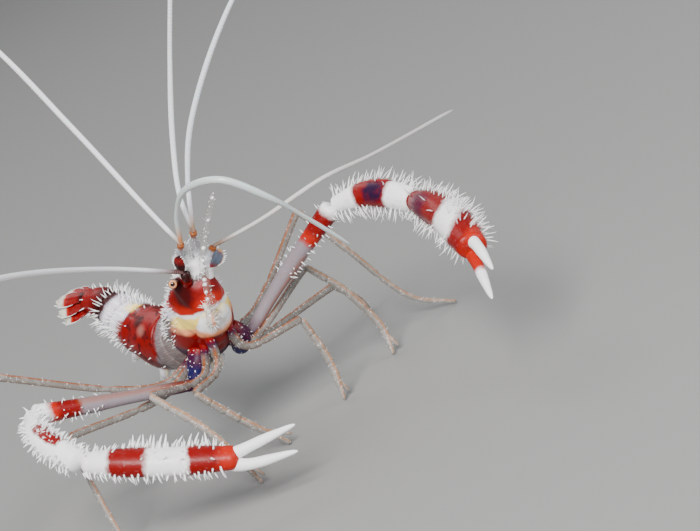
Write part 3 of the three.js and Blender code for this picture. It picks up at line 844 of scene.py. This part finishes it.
SMOKY, BROWN_EDGE = (0.5, 0.45, 0.4), (0.25, 0.12, 0.05)
MOUTH_GLASS = {
    # The left maxilliped's white dots at full strength are painted glints of light.
    "l": glassy("mouthpart_glass", SMOKY, BROWN_EDGE, clear=0.08, dots_and_glints=1.0, body_mark=0.3),
    "r": glassy("mouthpart_pale", (0.85, 0.8, 0.72), PEACH, clear=0.7),
}
for side, (points, radii) in MOUTH_PARTS.items():
    bm = new_piece()
    path = Path(*points)
    ring = round_ring(jointed(through(*radii), 4, 0.18), 0.85)
    sweep(bm, path, ring, 24, 72, dome=(0.3, 0.4))
    rows, length = ((12, 0.4), 0.75) if side == "r" else ((3, 1.5), 0.4)
    spines_on(bm, path, ring, UPRIGHT, rows, (0.3, 0.98), length, 0.045, 0.5)
    # White knobs along the left maxilliped. Their white tips are painted glints of light along the limb.
    glint_knobs = (0.47, 0.53, 0.58, 0.61, 0.72, 0.78, 0.89, 0.975) if side == "l" else ()
    for t in glint_knobs:
        at, across, _, _ = path.frame_at(t, UPRIGHT)
        thick = 0.3 - 0.1 * (t % 0.03) / 0.03
        spine(bm, at + across * -ring(t, 0)[0] * 0.8, across * -1, 0.42, thick, (t, 0, 0), around=8)
    finish_piece("maxilliped_limb_" + side, bm, MOUTH_GLASS[side], ["maxilliped_" + side])

# %% [markdown]
# ## The great arms
# The third pair of legs carries the long claws. Each arm has a stout base, a merus, a carpus
# and a palm with two fingers, in crimson and white bands. Sharp spines stand in rows along
# the edges, and the outer flank is nearly bare. They are long and thin on the left arm, and
# short and thick on the right. There are hundreds, so a spine has only a few faces, and its
# `tip` turns the shell's colour to white just above the root.

# %% The arms' places
ARMS = {
    "l": {
        "hip": body(3.4, 1.9, -4.2),
        "base": (4.2, 3.6, 11.1),
        "merus": [(8.0, 10.3, 16.3)],
        "elbow": (14.2, 18.2, 22.3),
        "carpus": [(18.8, 21.1, 22.2)],
        "wrist": (24.1, 22.8, 20.1),
        "palm": [(31.6, 21.2, 19)],
        "knuckle": (39.6, 18, 16.2),
        "sink": (37.4, 18.6, 16.6),
        "roots": [(39.6, 18.3, 16.9), (39.6, 17.5, 15.1)],
        "tips": [(44.2, 16.3, 14.6), (44.2, 14.6, 11.9)],
        "carpus_radius": (1.05, 1.45, 1.65, 1.45),
        "palm_radius": (1.5, 2.25, 2.3, 1.8),
        "up": (0.1, 0.8, 1),
        "palm_bands": [(0, 0.46, CRIMSON), (0.51, 0.67, MILK), (0.72, 0.82, CRIMSON), (0.9, 1, SCARLET)],
        "slant": 0.14,
        "bare": math.pi,
    },
    "r": {
        "hip": body(3.4, -1.9, -4.2),
        "base": (4.9, -3.8, 11),
        "merus": [(3.8, -14, 15)],
        "elbow": (2.6, -22.7, 18.4),
        "carpus": [(8.3, -25.1, 17)],
        "wrist": (13.8, -24.4, 13.9),
        "palm": [(19.2, -18.6, 10.6)],
        "knuckle": (24.7, -11.9, 7.3),
        "sink": (23.2, -13.6, 7.8),
        "roots": [(24.7, -11.6, 7.9), (24.9, -12, 6.4)],
        "tips": [(28, -5.6, 7.8), (28.9, -7.2, 5.4)],
        "carpus_radius": (1.05, 1.35, 1.55, 1.35),
        "palm_radius": (1.35, 1.75, 1.7, 1.35),
        "up": (0.5, -0.3, 0.8),
        "palm_bands": [
            (0, 0.18, MILK),
            (0.21, 0.42, CRIMSON),
            (0.46, 0.68, MILK),
            (0.71, 0.85, CRIMSON),
            (0.91, 1, SCARLET),
        ],
        "slant": 0.0,
        "bare": math.radians(100),
    },
}


def salted(tree, colour, along, across, height):
    """Small white dots, as many as grains of salt."""
    return blend(smooth(grain(tree, 3000, 1), 0.66, 0.7) * 0.8, colour, WHITE)


ARM_BASE_STOPS = steps((0, 0.2, CRIMSON), (0.38, 0.55, PLUM), (0.7, 1, BLUE))
ARM_BASE = shell("arm_base_shell", ARM_BASE_STOPS, ragged=0.09, paint=salted)


def flesh_line(tree, colour, along, across, height):
    """Rust-coloured lines along the clear part of the merus."""
    line = smooth(height.math("ABSOLUTE"), 0.75, 0.98) * (1 - smooth(along, 0.68, 0.74))
    return blend(line * 0.45, colour, RUST)


def blue_saddle(tree, colour, along, across, height):
    """A dark blue patch on both flanks inside the red band, and a lit upper rim."""
    uneven = along + (grain(tree, 1200, 3) - 0.5) * 0.22
    inside = smooth(uneven, 0.42, 0.54) * (1 - smooth(uneven, 0.62, 0.72))
    patch = smooth(across.math("ABSOLUTE"), 0.4, 0.95) * inside
    colour = blend(patch * 0.92, colour, NAVY)
    rim = smooth(height, 0.75, 0.95) * smooth(along, 0.33, 0.37) * (1 - smooth(along, 0.66, 0.7))
    return blend(rim * 0.5, colour, SCARLET)


MAUVE = (0.25, 0.21, 0.235)
NAVY = (0.003, 0.003, 0.028)
MERUS_STOPS = {
    "l": steps(
        (0, 0.1, PLUM),
        (0.25, 0.75, MAUVE),
        (0.785, 0.81, SCARLET),
        (0.84, 0.93, CRIMSON),
        (0.975, 1, WHITE),
    ),
    "r": steps(
        (0, 0.1, PLUM),
        (0.25, 0.67, MAUVE),
        (0.71, 0.82, CRIMSON),
        (0.86, 0.87, SCARLET),
        (0.92, 1, WHITE),
    ),
}
CARPUS_STOPS = {
    "l": steps((0, 0.3, WHITE), (0.35, 0.7, CRIMSON), (0.75, 1, WHITE)),
    "r": steps((0, 0.36, WHITE), (0.4, 0.74, CRIMSON), (0.78, 1, WHITE)),
}
FINGER_STOPS = steps((0, 0.06, SCARLET), (0.14, 1, WHITE))
MERUS_LOOKS = {
    side: shell("merus_shell_" + side, stops, mottle=0.12, paint=flesh_line)
    for side, stops in MERUS_STOPS.items()
}


def white_outside(tree, colour, along, across, height):
    """The right carpus is red only on the side that faces the body, with white streaks."""
    streaks = smooth(grain(tree, 1300, 2, 2.0), 0.55, 0.62) * 0.8
    outside = 1 - smooth(across + (grain(tree, 900, 3) - 0.5) * 0.6, -0.35, 0.0)
    return blend((outside + streaks).clamp(), colour, WHITE)


def plum_heart(tree, colour, along, across, height):
    """A dark purple heart in the first red band of the left palm."""
    uneven = along + (grain(tree, 800, 3) - 0.5) * 0.16
    patch = smooth(across * -1.0, 0.45, 0.95) * smooth(uneven, 0.12, 0.24) * (1 - smooth(uneven, 0.34, 0.46))
    return blend(patch * 0.75, colour, PLUM)


CARPUS_LOOKS = {
    "l": shell("carpus_shell_l", CARPUS_STOPS["l"], ragged=0.035, mottle=0.15, paint=blue_saddle),
    "r": shell("carpus_shell_r", CARPUS_STOPS["r"], mottle=0.15, paint=white_outside),
}
PALM_PAINTS = {"l": plum_heart, "r": None}
FINGER_SHELL = shell("finger_shell", FINGER_STOPS, mottle=0.0, ragged=0.04)
RED_ROOTED = shell("finger_red_root", steps((0, 0.64, SCARLET), (0.7, 1, WHITE)), mottle=0.0, ragged=0.04)
SPINES = {"l": (1.75, 0.095), "r": (1.0, 0.14)}

# %% Spines, joints and fingers of the arms
ALL_ALONG = (0.03, 0.97)
BALD_DEGREES = 58


def edges_only(bare, bald=BALD_DEGREES):
    """Spines stand along the edges of an arm, and its outer flank is nearly smooth."""

    def keep(t, angle):
        turned = abs((angle - bare + math.pi) % (2 * math.pi) - math.pi)
        return turned > math.radians(bald) or random.random() < 0.07

    return keep


def tall_row(bm, path, ring, up, middle, reach):
    """A row of tall blunt spines along the upper edge of the right palm."""
    tuft = new_piece()
    for i in range(16):
        t = mix(reach[0], reach[1], i / 15)
        angle = middle + random.uniform(-0.5, 0.5)
        at, side, top, forward = path.frame_at(t, up)
        wide, tall = ring(t, angle)
        out = side * math.cos(angle) * wide + top * math.sin(angle) * tall
        way = out.normalized() + forward * 0.15
        bend = (random.uniform(-0.25, 0.25), random.uniform(-0.25, 0.25))
        spine(tuft, at + out * 0.97, way, 1.75, 0.2, (t, 1, 0), bend, around=7)
    pour(tuft, bm)


def arm_piece(name, path, up, material, replaced, tube, thorns, bare=0.0, bald=BALD_DEGREES):
    """One length of an arm. tube is radii, flatness and dome, thorns what spines_on takes."""
    radii, flat, dome = tube
    ring = round_ring(jointed(through(*radii), 1, 0.08), flat)
    bm = new_piece()
    sweep(bm, path, ring, 32, 56, up, dome=dome)
    spines_on(bm, path, ring, up, *thorns, lean=0.3, keep=edges_only(bare, bald))
    if name == "arm_palm_shell_r":
        tall_row(bm, path, ring, up, math.radians(15), (0.3, 0.84))
    finish_piece(name, bm, material, [replaced])


def claw_finger(bm, *points):
    """A pale finger that tapers to a blunt tip."""
    sweep(bm, Path(*points), round_ring(through(0.85, 0.8, 0.62, 0.3)), 24, 40, dome=(0.2, 0.9))


# %% Build the arms
SHORT_DOME = (0.6, 0.6)
COXA = (((1.45, 1.45, 1.0), 1.0, SHORT_DOME), ((9, 0.9), (0.25, 0.95), 0.3, 0.07))
MERUS = (((0.75, 0.8, 1.0, 1.2), 1.0, SHORT_DOME), ((10, 0.75), (0.55, 0.97), 0.75, 0.1))
BALD_WRIST = {"l": BALD_DEGREES, "r": 32}
for side, left in (("l", 1), ("r", -1)):
    arm = ARMS[side]
    suffix = "_" + side
    up, bare = arm["up"], arm["bare"]
    length, thick = SPINES[side]
    hip_path = Path(arm["hip"], body(2.6, left * 2.9, -5.4), arm["base"])
    arm_piece("arm_coxa" + suffix, hip_path, UPRIGHT, ARM_BASE, "arm_base" + suffix, *COXA)
    merus = Path(arm["base"], *arm["merus"], arm["elbow"])
    arm_piece("arm_upper" + suffix, merus, up, MERUS_LOOKS[side], "arm_merus" + suffix, *MERUS, bare)
    carpus = Path(arm["elbow"], *arm["carpus"], arm["wrist"])
    wrist = ((arm["carpus_radius"], 1.0, SHORT_DOME), ((18, 0.7), ALL_ALONG, length, thick))
    look, bald = CARPUS_LOOKS[side], BALD_WRIST[side]
    arm_piece("arm_wrist" + suffix, carpus, up, look, "arm_carpus" + suffix, *wrist, bare, bald)
    bands_look = {"ragged": 0.035, "mottle": 0.12, "slant": arm["slant"], "paint": PALM_PAINTS[side]}
    look = shell("palm_shell" + suffix, steps(*arm["palm_bands"]), **bands_look)
    palm = Path(arm["wrist"], *arm["palm"], arm["knuckle"])
    hand = ((arm["palm_radius"], 0.85, (0.9, 0.8)), ((20, 0.85), (0.03, 0.93), length, thick))
    arm_piece("arm_palm_shell" + suffix, palm, up, look, "arm_palm" + suffix, *hand, bare)
    for finger, name in enumerate(("moving", "fixed")):
        bm = new_piece()
        claw_finger(bm, arm["sink"], arm["roots"][finger], arm["tips"][finger])
        replaced = ["arm_finger" + suffix] if finger == 0 else ["arm_palm" + suffix]
        look = RED_ROOTED if side == "l" and name == "fixed" else FINGER_SHELL
        finish_piece(f"finger_{name}{suffix}", bm, look, replaced)

# %% [markdown]
# ## The thin legs
# Two slender pairs with tiny pincers stand before the arms and two walking pairs behind them.
# Their shell is nearly clear and sprinkled with white dots, and the flesh shows through it as
# brown lines along the edges. Each leg is two sweeps that meet at a bent knee, because the
# knee is the one place where a smooth curve would look soft.

# %% Build the legs
# Each leg: its hip, the thigh's knots and the shin's knots, down to the foot.
LEGS = {
    "leg1_l": (
        body(7, 1.2, -4.7),
        [(8.4, 2.4, 12.6), (9.3, 10.2, 11.6)],
        [(8.6, 11.3, 4.8), (9.4, 10.3, 0)],
    ),
    "leg1_r": (
        body(7, -1.2, -4.7),
        [(8.6, -2, 12.4), (11.4, -7.3, 12.2)],
        [(10.8, -3.6, 6.4), (10.7, 0.8, 0)],
    ),
    "leg2_l": (
        body(5.2, 1.6, -4.6),
        [(6.4, 3.4, 12), (6.9, 15, 15.9)],
        [(5.9, 18.8, 10.3), (5.2, 21.4, 3.4), (6.4, 20.5, 0)],
    ),
    "leg2_r": (
        body(5.2, -1.6, -4.6),
        [(6.8, -3.2, 12), (9.8, -11.7, 14.5)],
        [(15.6, -9.8, 8.8), (16.2, -7.2, 0)],
    ),
    "leg4_l": (
        body(1.4, 1.9, -4),
        [(1.4, 9, 13.4), (-0.5, 21.2, 20.2)],
        [(-0.2, 24.8, 12.6), (1.6, 28.9, 3.4), (4, 33, 0)],
    ),
    "leg4_r": (
        body(1.4, -1.9, -4),
        [(3.2, -7, 11.6), (4, -20.5, 14.2)],
        [(6.1, -21.6, 9.4), (12.6, -23.9, 0)],
    ),
    "leg5_l": (
        body(-0.4, 1.8, -3.4),
        [(0.6, 6.5, 10.4), (-3.4, 22.4, 8.8)],
        [(-8, 27, 4.4), (-14, 31, 0)],
    ),
    "leg5_r": (
        body(-0.4, -1.8, -3.4),
        [(0.4, -6, 12), (-9.2, -22.6, 23.4)],
        [(-9.8, -29.6, 12.2), (-10.1, -35.9, 0)],
    ),
}
LEG_RADIUS = 0.46
FOOT_RADIUS = 0.27
HIP_STOPS = (0.14, 0.3, steps((0, 0.1, CRIMSON), (0.16, 1, PLUM)))
LEG_GLASS = glassy("leg_glass", GLASS, RUST, HIP_STOPS, clear=0.6, dots_and_glints=0.5)
PALE_GLASS = glassy("leg_pale_glass", (0.34, 0.33, 0.31), (0.36, 0.16, 0.06), clear=0.62, dots_and_glints=0.5)
THUMBS = {
    "leg1_l": (9.1, 11.5, 0.8),
    "leg1_r": (11.2, 1.3, 1.3),
    "leg2_l": (6.3, 21.7, 0.8),
    "leg2_r": (17.1, -6.9, 1.2),
}
THIGH_UP = (0.3, 0, 1)
SHIN_UP = (0.9, 0.1, 0.3)
THUMB_START = 0.74
for name, (hip, upper, lower) in LEGS.items():
    k = LEG_RADIUS
    bm = new_piece()
    path = Path(hip, *upper)
    ring = round_ring(jointed(through(1.5 * k, 1.15 * k, k, k), 3, 0.12))
    sweep(bm, path, ring, 18, 72, THIGH_UP, dome=(0.3, 0.35))
    spines_on(bm, path, ring, THIGH_UP, (4, 2.2), (0.3, 0.97), 0.26, 0.035, 0.7)
    finish_piece(name + "_thigh", bm, LEG_GLASS, [name + "_upper"])
    bm = new_piece()
    path = Path(upper[-1], *lower[:-1], Vector(lower[-1]) + Vector((0, 0, FOOT_RADIUS)))
    thick = (0.95, 1.1, 1.1) if name in THUMBS else (0.95, 0.9, 0.8)
    ring = round_ring(jointed(through(*[k * width for width in thick], FOOT_RADIUS), 6, 0.12))
    sweep(bm, path, ring, 18, 96, SHIN_UP, dome=(0.3, 0.5))
    if name in THUMBS:
        root = path.at(THUMB_START)
        thumb = Path(root, root.lerp(THUMBS[name], 0.5), THUMBS[name])
        thumb_ring = round_ring(through(0.32, 0.34, 0.2))
        sweep(bm, thumb, thumb_ring, 12, 24, SHIN_UP, dome=(0.2, 0.4), run=(THUMB_START, 1))
    spines_on(bm, path, ring, SHIN_UP, (4, 2.0), (0.05, 0.95), 0.24, 0.03, 0.7)
    finish_piece(name + "_shin", bm, PALE_GLASS, [name + "_lower"])

# %% [markdown]
# ## The abdomen
# Six rings slide into each other as the animal flexes. Each ring bulges a little, its rear
# edge overlaps the next, and rounded flaps hang at its sides. Paddle-like swimmerets hang
# below the first five. The third ring is crimson, the next two are white, the last dark red.
# They are swept along stretches of one path, so that they nest, and one finish runs over all.

# %% Build the abdomen
ABDOMEN = Path(
    (0.5, 1.4, 15.2),
    (-3.6, 0.9, 14.4),
    (-8.4, 0.4, 15.2),
    (-12.4, 0, 16.9),
    (-16.2, -0.1, 19.5),
    (-19.4, -0.6, 20.5),
)
RING_ENDS = (0, 0.1, 0.22, 0.54, 0.66, 0.77, 1)
ring_width = through(3.5, 3.7, 3.6, 3.1, 2.5, 2.0, 1.6)
ring_height = through(3.2, 3.5, 3.5, 3, 2.4, 1.9, 1.4)


class Stretch:
    """A stretch of a longer path, read as a path of its own."""

    def __init__(self, path, low, high):
        self.path, self.low, self.high = path, low, high

    def at(self, t):
        return self.path.at(mix(self.low, self.high, t))

    def way(self, t):
        return self.path.way(mix(self.low, self.high, t))

    length = Path.length
    frame_at = Path.frame_at


def abdomen_ring(low, high):
    def ring(t, angle):
        s = mix(low, high, t)
        bulge = 1 + 0.05 * math.sin(math.pi * t) + 0.05 * t**6
        lobe = 1 + (0.08 + 0.16 * math.sin(math.pi * t)) * max(-math.sin(angle), 0) ** 2
        return ring_width(s) * bulge, ring_height(s) * bulge * lobe

    return ring


DULL_MAUVE = (0.17, 0.13, 0.14)
WINDOW = (-6.2, -2.2, 17.2)
WINDOW_LID = (-7.2, -1.5, 18)


def abdomen_material():
    material, tree, shader = new_material("abdomen_shell", **WET)
    along, across, height, tip = runs(tree)
    stretched = {0: along * 14.0, 1: across * 26.0, 2: height * 26.0}
    streak_place = node(tree, "ShaderNodeCombineXYZ", {}, stretched)
    streaks = node(tree, "ShaderNodeTexNoise", {}, {"Vector": streak_place, "Scale": 1.0, "Detail": 3.0})
    stops = steps(
        (0, 0.1, CLEAR),
        (0.14, 0.17, DULL_MAUVE),
        (0.2, 0.53, CRIMSON),
        (0.56, 0.71, LILAC),
        (0.745, 0.8, DARK_RED),
        (0.9, 1, CRIMSON),
    )
    low = smooth(height * -1.0, -0.2, 0.5) * (1 - smooth(along, 0.3, 0.36))
    flank = (1 - smooth(height, 0.55, 0.85)) * smooth(along, 0.4, 0.5) * (1 - smooth(along, 0.64, 0.7))
    colour = bands(tree, along - low * 0.09 - flank * 0.05, stops, 0.03, 800)
    red = smooth(along, 0.19, 0.22) * (1 - smooth(along, 0.53, 0.56))
    blotch = smooth(grain(tree, 800, 4, 0.6), 0.48, 0.62)
    colour = blend(red * blotch * 0.75, colour, DARK_RED)
    window = spot(tree, WINDOW, 0.62, 0.8)
    colour = blend(spot(tree, WINDOW_LID, 0.85, 0.6) * 0.9, colour, DARK_RED)
    colour = blend(window * 0.6, colour, (0.4, 0.16, 0.13))
    rear_edge = smooth(along, 0.46, 0.52) * (1 - smooth(along, 0.56, 0.6)) * smooth(height, 0.6, 0.8)
    clear_edge = smooth(grain(tree, 520, 3), 0.5, 0.58) * rear_edge
    colour = blend(clear_edge * 0.6, colour, (0.32, 0.25, 0.27))
    stripe = smooth(height, 0.93, 0.99) * smooth(along, 0.5, 0.54) * (1 - smooth(along, 0.6, 0.64))
    colour = blend(stripe, colour, CREAM)
    pale = smooth(along, 0.55, 0.58) * (1 - smooth(along, 0.7, 0.74))
    streaked = (pale * 0.9 + 0.1) * (1 - red) * (1 - smooth(along, 0.72, 0.76))
    colour = blend(smooth(streaks, 0.45, 0.62) * streaked, colour, WHITE)
    sheen = smooth(grain(tree, 1900, 2), 0.6, 0.72) * smooth(along, 0.8, 0.86)
    colour = blend(sheen * 0.5, colour, SCARLET)
    colour = blend(smooth(tip, 0.02, 0.3), colour, WHITE)
    relief = streaks * 0.5 + grain(tree, 3000, 3) * 0.7
    feed(tree, shader, Base_Color=colour, Normal=bump(tree, relief, 0.5), Roughness=blotch * 0.15 + 0.4)
    return material


def swimmeret(bm, at, left, length, run):
    root = ABDOMEN.at(at)
    high = ring_height(at)
    path = Path(
        (root.x, root.y + left * 1.1, root.z - high * 0.7),
        (root.x + 0.5, root.y + left * 1.4, root.z - high - length * 0.4),
        (root.x - 0.5, root.y + left * 1.5, root.z - high - length),
    )
    ring = blade_ring(0.78, PLATE, 0.3)
    sweep(bm, path, ring, 20, 20, (1, 0, 0.2), dome=(0.2, 0.8), run=(run, run))
    fringe = new_piece()
    for i in range(14):
        t = mix(0.45, 0.98, i / 13)
        at_edge, across, _, down = path.frame_at(t, (1, 0, 0.2))
        edge = 1 if i % 2 else -1
        start = at_edge + across * edge * ring(t, 0)[0] * 0.8
        spine(fringe, start, across * edge * 0.7 + down, 0.6, 0.035, (run, edge, 0))
    pour(fringe, bm)


def above_belly(t, angle):
    return math.sin(angle) > -0.6


def rim_and_edges(t, angle):
    """Spines stand on each ring's rear rim and on its outline, and leave its right flank bare."""
    bare_flank = 0.1 < angle % (2 * math.pi) < 1.6
    return math.sin(angle) > -0.8 and (t > 0.8 or not bare_flank)


ABDOMEN_SHELL = abdomen_material()
SPINE_ROWS = (None, None, ((14, 1.3), 0.5), ((26, 0.6), 1.3), ((26, 0.5), 1.6), ((16, 1.1), 0.8))
for i in range(6):
    low, high = RING_ENDS[i] + 0.002, RING_ENDS[i + 1] + 0.012
    bm = new_piece()
    stretch = Stretch(ABDOMEN, low, high)
    ring = abdomen_ring(low, high)
    sweep(bm, stretch, ring, 48, 40, dome=(0.5, 0.35), run=(low, high))
    if SPINE_ROWS[i]:
        rows, length = SPINE_ROWS[i]
        rest = {"keep": rim_and_edges, "run": (low, high)}
        spines_on(bm, stretch, ring, UPRIGHT, rows, (0.08, 0.95), length, 0.1, 0.5, **rest)
    if i in (3, 4):
        rest = {"keep": above_belly, "run": (low, high)}
        spines_on(bm, stretch, ring, UPRIGHT, (34, 0.3), (0.8, 0.97), 1.35, 0.095, 1.1, **rest)
    if i < 5:
        for left in (-1, 1):
            middle = mix(RING_ENDS[i], RING_ENDS[i + 1], 0.55)
            swimmeret(bm, middle, left, mix(2.6, 1.8, i / 4), 0.6)
    finish_piece(f"abdomen_ring_{i + 1}", bm, ABDOMEN_SHELL, [f"abdomen_{i + 1}"])

# %% [markdown]
# ## The tail fan
# A pointed telson lies over two pairs of oval blades. All are crimson at the root and pale
# towards the tip, ribbed down the middle and fringed with fine bristles. A blade is swept as
# a limb is, with a ring that is flat and thicker in the middle, so it keeps its closed edge.

# %% Build the tail fan
TAIL_ROOT = Vector((-19.4, -0.6, 20.5))
TAIL_BACK = Vector((-0.86, -0.49, 0.12))
TAIL_UP = Vector((0.1, -0.45, 0.85))
TAIL_LEFT = TAIL_BACK.cross(TAIL_UP).normalized()
FAN = {
    "telson": (4.9, 0, 0.78, 1.05),
    "uropod_inner": (4.7, 1.2, 0.08, 1.15),
    "uropod_outer": (4.3, 1.8, -0.6, 1.3),
}
OLIVE = (0.62, 0.62, 0.52)
FAN_STOPS = steps((0, 0.2, DARK_RED), (0.3, 0.56, CRIMSON), (0.6, 0.63, SCARLET), (0.69, 1, OLIVE))
FAN_SHELL = shell("tail_fan_shell", FAN_STOPS, ragged=0.05, mottle=0.4)


def fan_path(length, aside, lift, left):
    stations = ((-0.1, 0.3, 0), (0.5, 0.8, 0), (1, 1, 0.3))
    return Path(*[
        TAIL_ROOT + TAIL_BACK * length * t + TAIL_LEFT * left * aside * spread + TAIL_UP * (lift - droop)
        for t, spread, droop in stations
    ])


def fan_blade(name, length, aside, lift, half, left):
    path = fan_path(length, aside, lift, left)
    ring = blade_ring(half, PLATE)
    bm = new_piece()
    sweep(bm, path, ring, 40, 48, TAIL_UP, dome=(0.3, 1.2))
    fringe = new_piece()
    for i in range(46):
        edge = 1 if i % 2 else -1
        t = mix(0.35, 0.985, i / 45)
        at, across, _, back = path.frame_at(t, TAIL_UP)
        start = at + across * edge * ring(t, 0)[0] * 0.93
        spine(fringe, start, across * edge * (1.1 - t) + back, 0.45, 0.035, (0.95, edge, 0))
    pour(fringe, bm)
    finish_piece(name + "_blade", bm, FAN_SHELL, [name])


for part, sizes in FAN.items():
    for suffix, left in (("", 0),) if part == "telson" else (("_l", 1), ("_r", -1)):
        fan_blade(part + suffix, *sizes, left)

# %% [markdown]
# ## Floor, light and camera
# A pale floor and three large soft lamps show the wet shell. Large lamps leave broad, gentle
# highlights on it, where small ones would leave hard dots and wash out the red. The camera
# looks at the face from a little above, and it is rolled so that the animal seems to climb,
# as on a slope.

# %% Light the stage and set the camera


def pale_floor():
    bm = bmesh.new()
    bmesh.ops.create_grid(bm, x_segments=1, y_segments=1, size=4)
    mesh = bpy.data.meshes.new("floor")
    bm.to_mesh(mesh)
    bm.free()
    floor = bpy.data.objects.new("floor", mesh)
    bpy.context.scene.collection.objects.link(floor)
    material, tree, shader = new_material("floor_paper", Roughness=0.8)
    shader.inputs["Base Color"].default_value = (0.26, 0.26, 0.255, 1)
    mesh.materials.append(material)
    floor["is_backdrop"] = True


def area_lamp(name, place, target, size, power, colour):
    lamp = bpy.data.lights.new(name, "AREA")
    lamp.size, lamp.energy, lamp.color = size, power, colour
    holder = bpy.data.objects.new(name, lamp)
    holder.location = place
    holder.rotation_euler = (Vector(target) - Vector(place)).to_track_quat("-Z", "Y").to_euler()
    bpy.context.scene.collection.objects.link(holder)


pale_floor()
middle = TO_FRAME @ Vector((5, 0, 15))
area_lamp("key", middle + Vector((0.4, -0.3, 0.4)), middle, 0.25, 8.2, (1, 0.98, 0.96))
area_lamp("fill", middle + Vector((0.4, 0.35, 0.2)), middle, 0.4, 1.9, (0.93, 0.96, 1))
area_lamp("rim", middle + Vector((-0.35, 0.05, 0.45)), middle, 0.3, 1.1, (1, 1, 1))
world = bpy.data.worlds.new("soft_room")
world.use_nodes = True
world.node_tree.nodes["Background"].inputs["Color"].default_value = (0.85, 0.88, 0.92, 1)
world.node_tree.nodes["Background"].inputs["Strength"].default_value = 0.33
bpy.context.scene.world = world

CAMERA_PLACE = (288.05, -126.11, 97.8)
CAMERA_RIGHT = Vector((0.516, 0.7357, -0.4385))
CAMERA_BACK = Vector((0.8566, -0.4465, 0.2588)).normalized()
FOCAL_PIXELS, FRAME_WIDTH, SENSOR = 2720, 700, 36
camera = bpy.data.cameras.new("camera")
camera.sensor_width = SENSOR
camera.lens = SENSOR * FOCAL_PIXELS / FRAME_WIDTH
camera.clip_start, camera.clip_end = 0.01, 20
holder = bpy.data.objects.new("camera", camera)
camera_up = CAMERA_BACK.cross(CAMERA_RIGHT).normalized()
camera_right = camera_up.cross(CAMERA_BACK)
turn = Matrix((camera_right, camera_up, CAMERA_BACK)).transposed().to_4x4()
holder.matrix_world = Matrix.Translation(TO_FRAME @ Vector(CAMERA_PLACE)) @ turn
bpy.context.scene.collection.objects.link(holder)
bpy.context.scene.camera = holder
print("the camera stands at", [round(x, 3) for x in holder.matrix_world.translation])

# %% Write the two boxes and finish
visual_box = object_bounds()
sizes = {"cad": [list(corner) for corner in cad_box], "visual": [list(corner) for corner in visual_box]}
print("solids and looks reach", sizes)
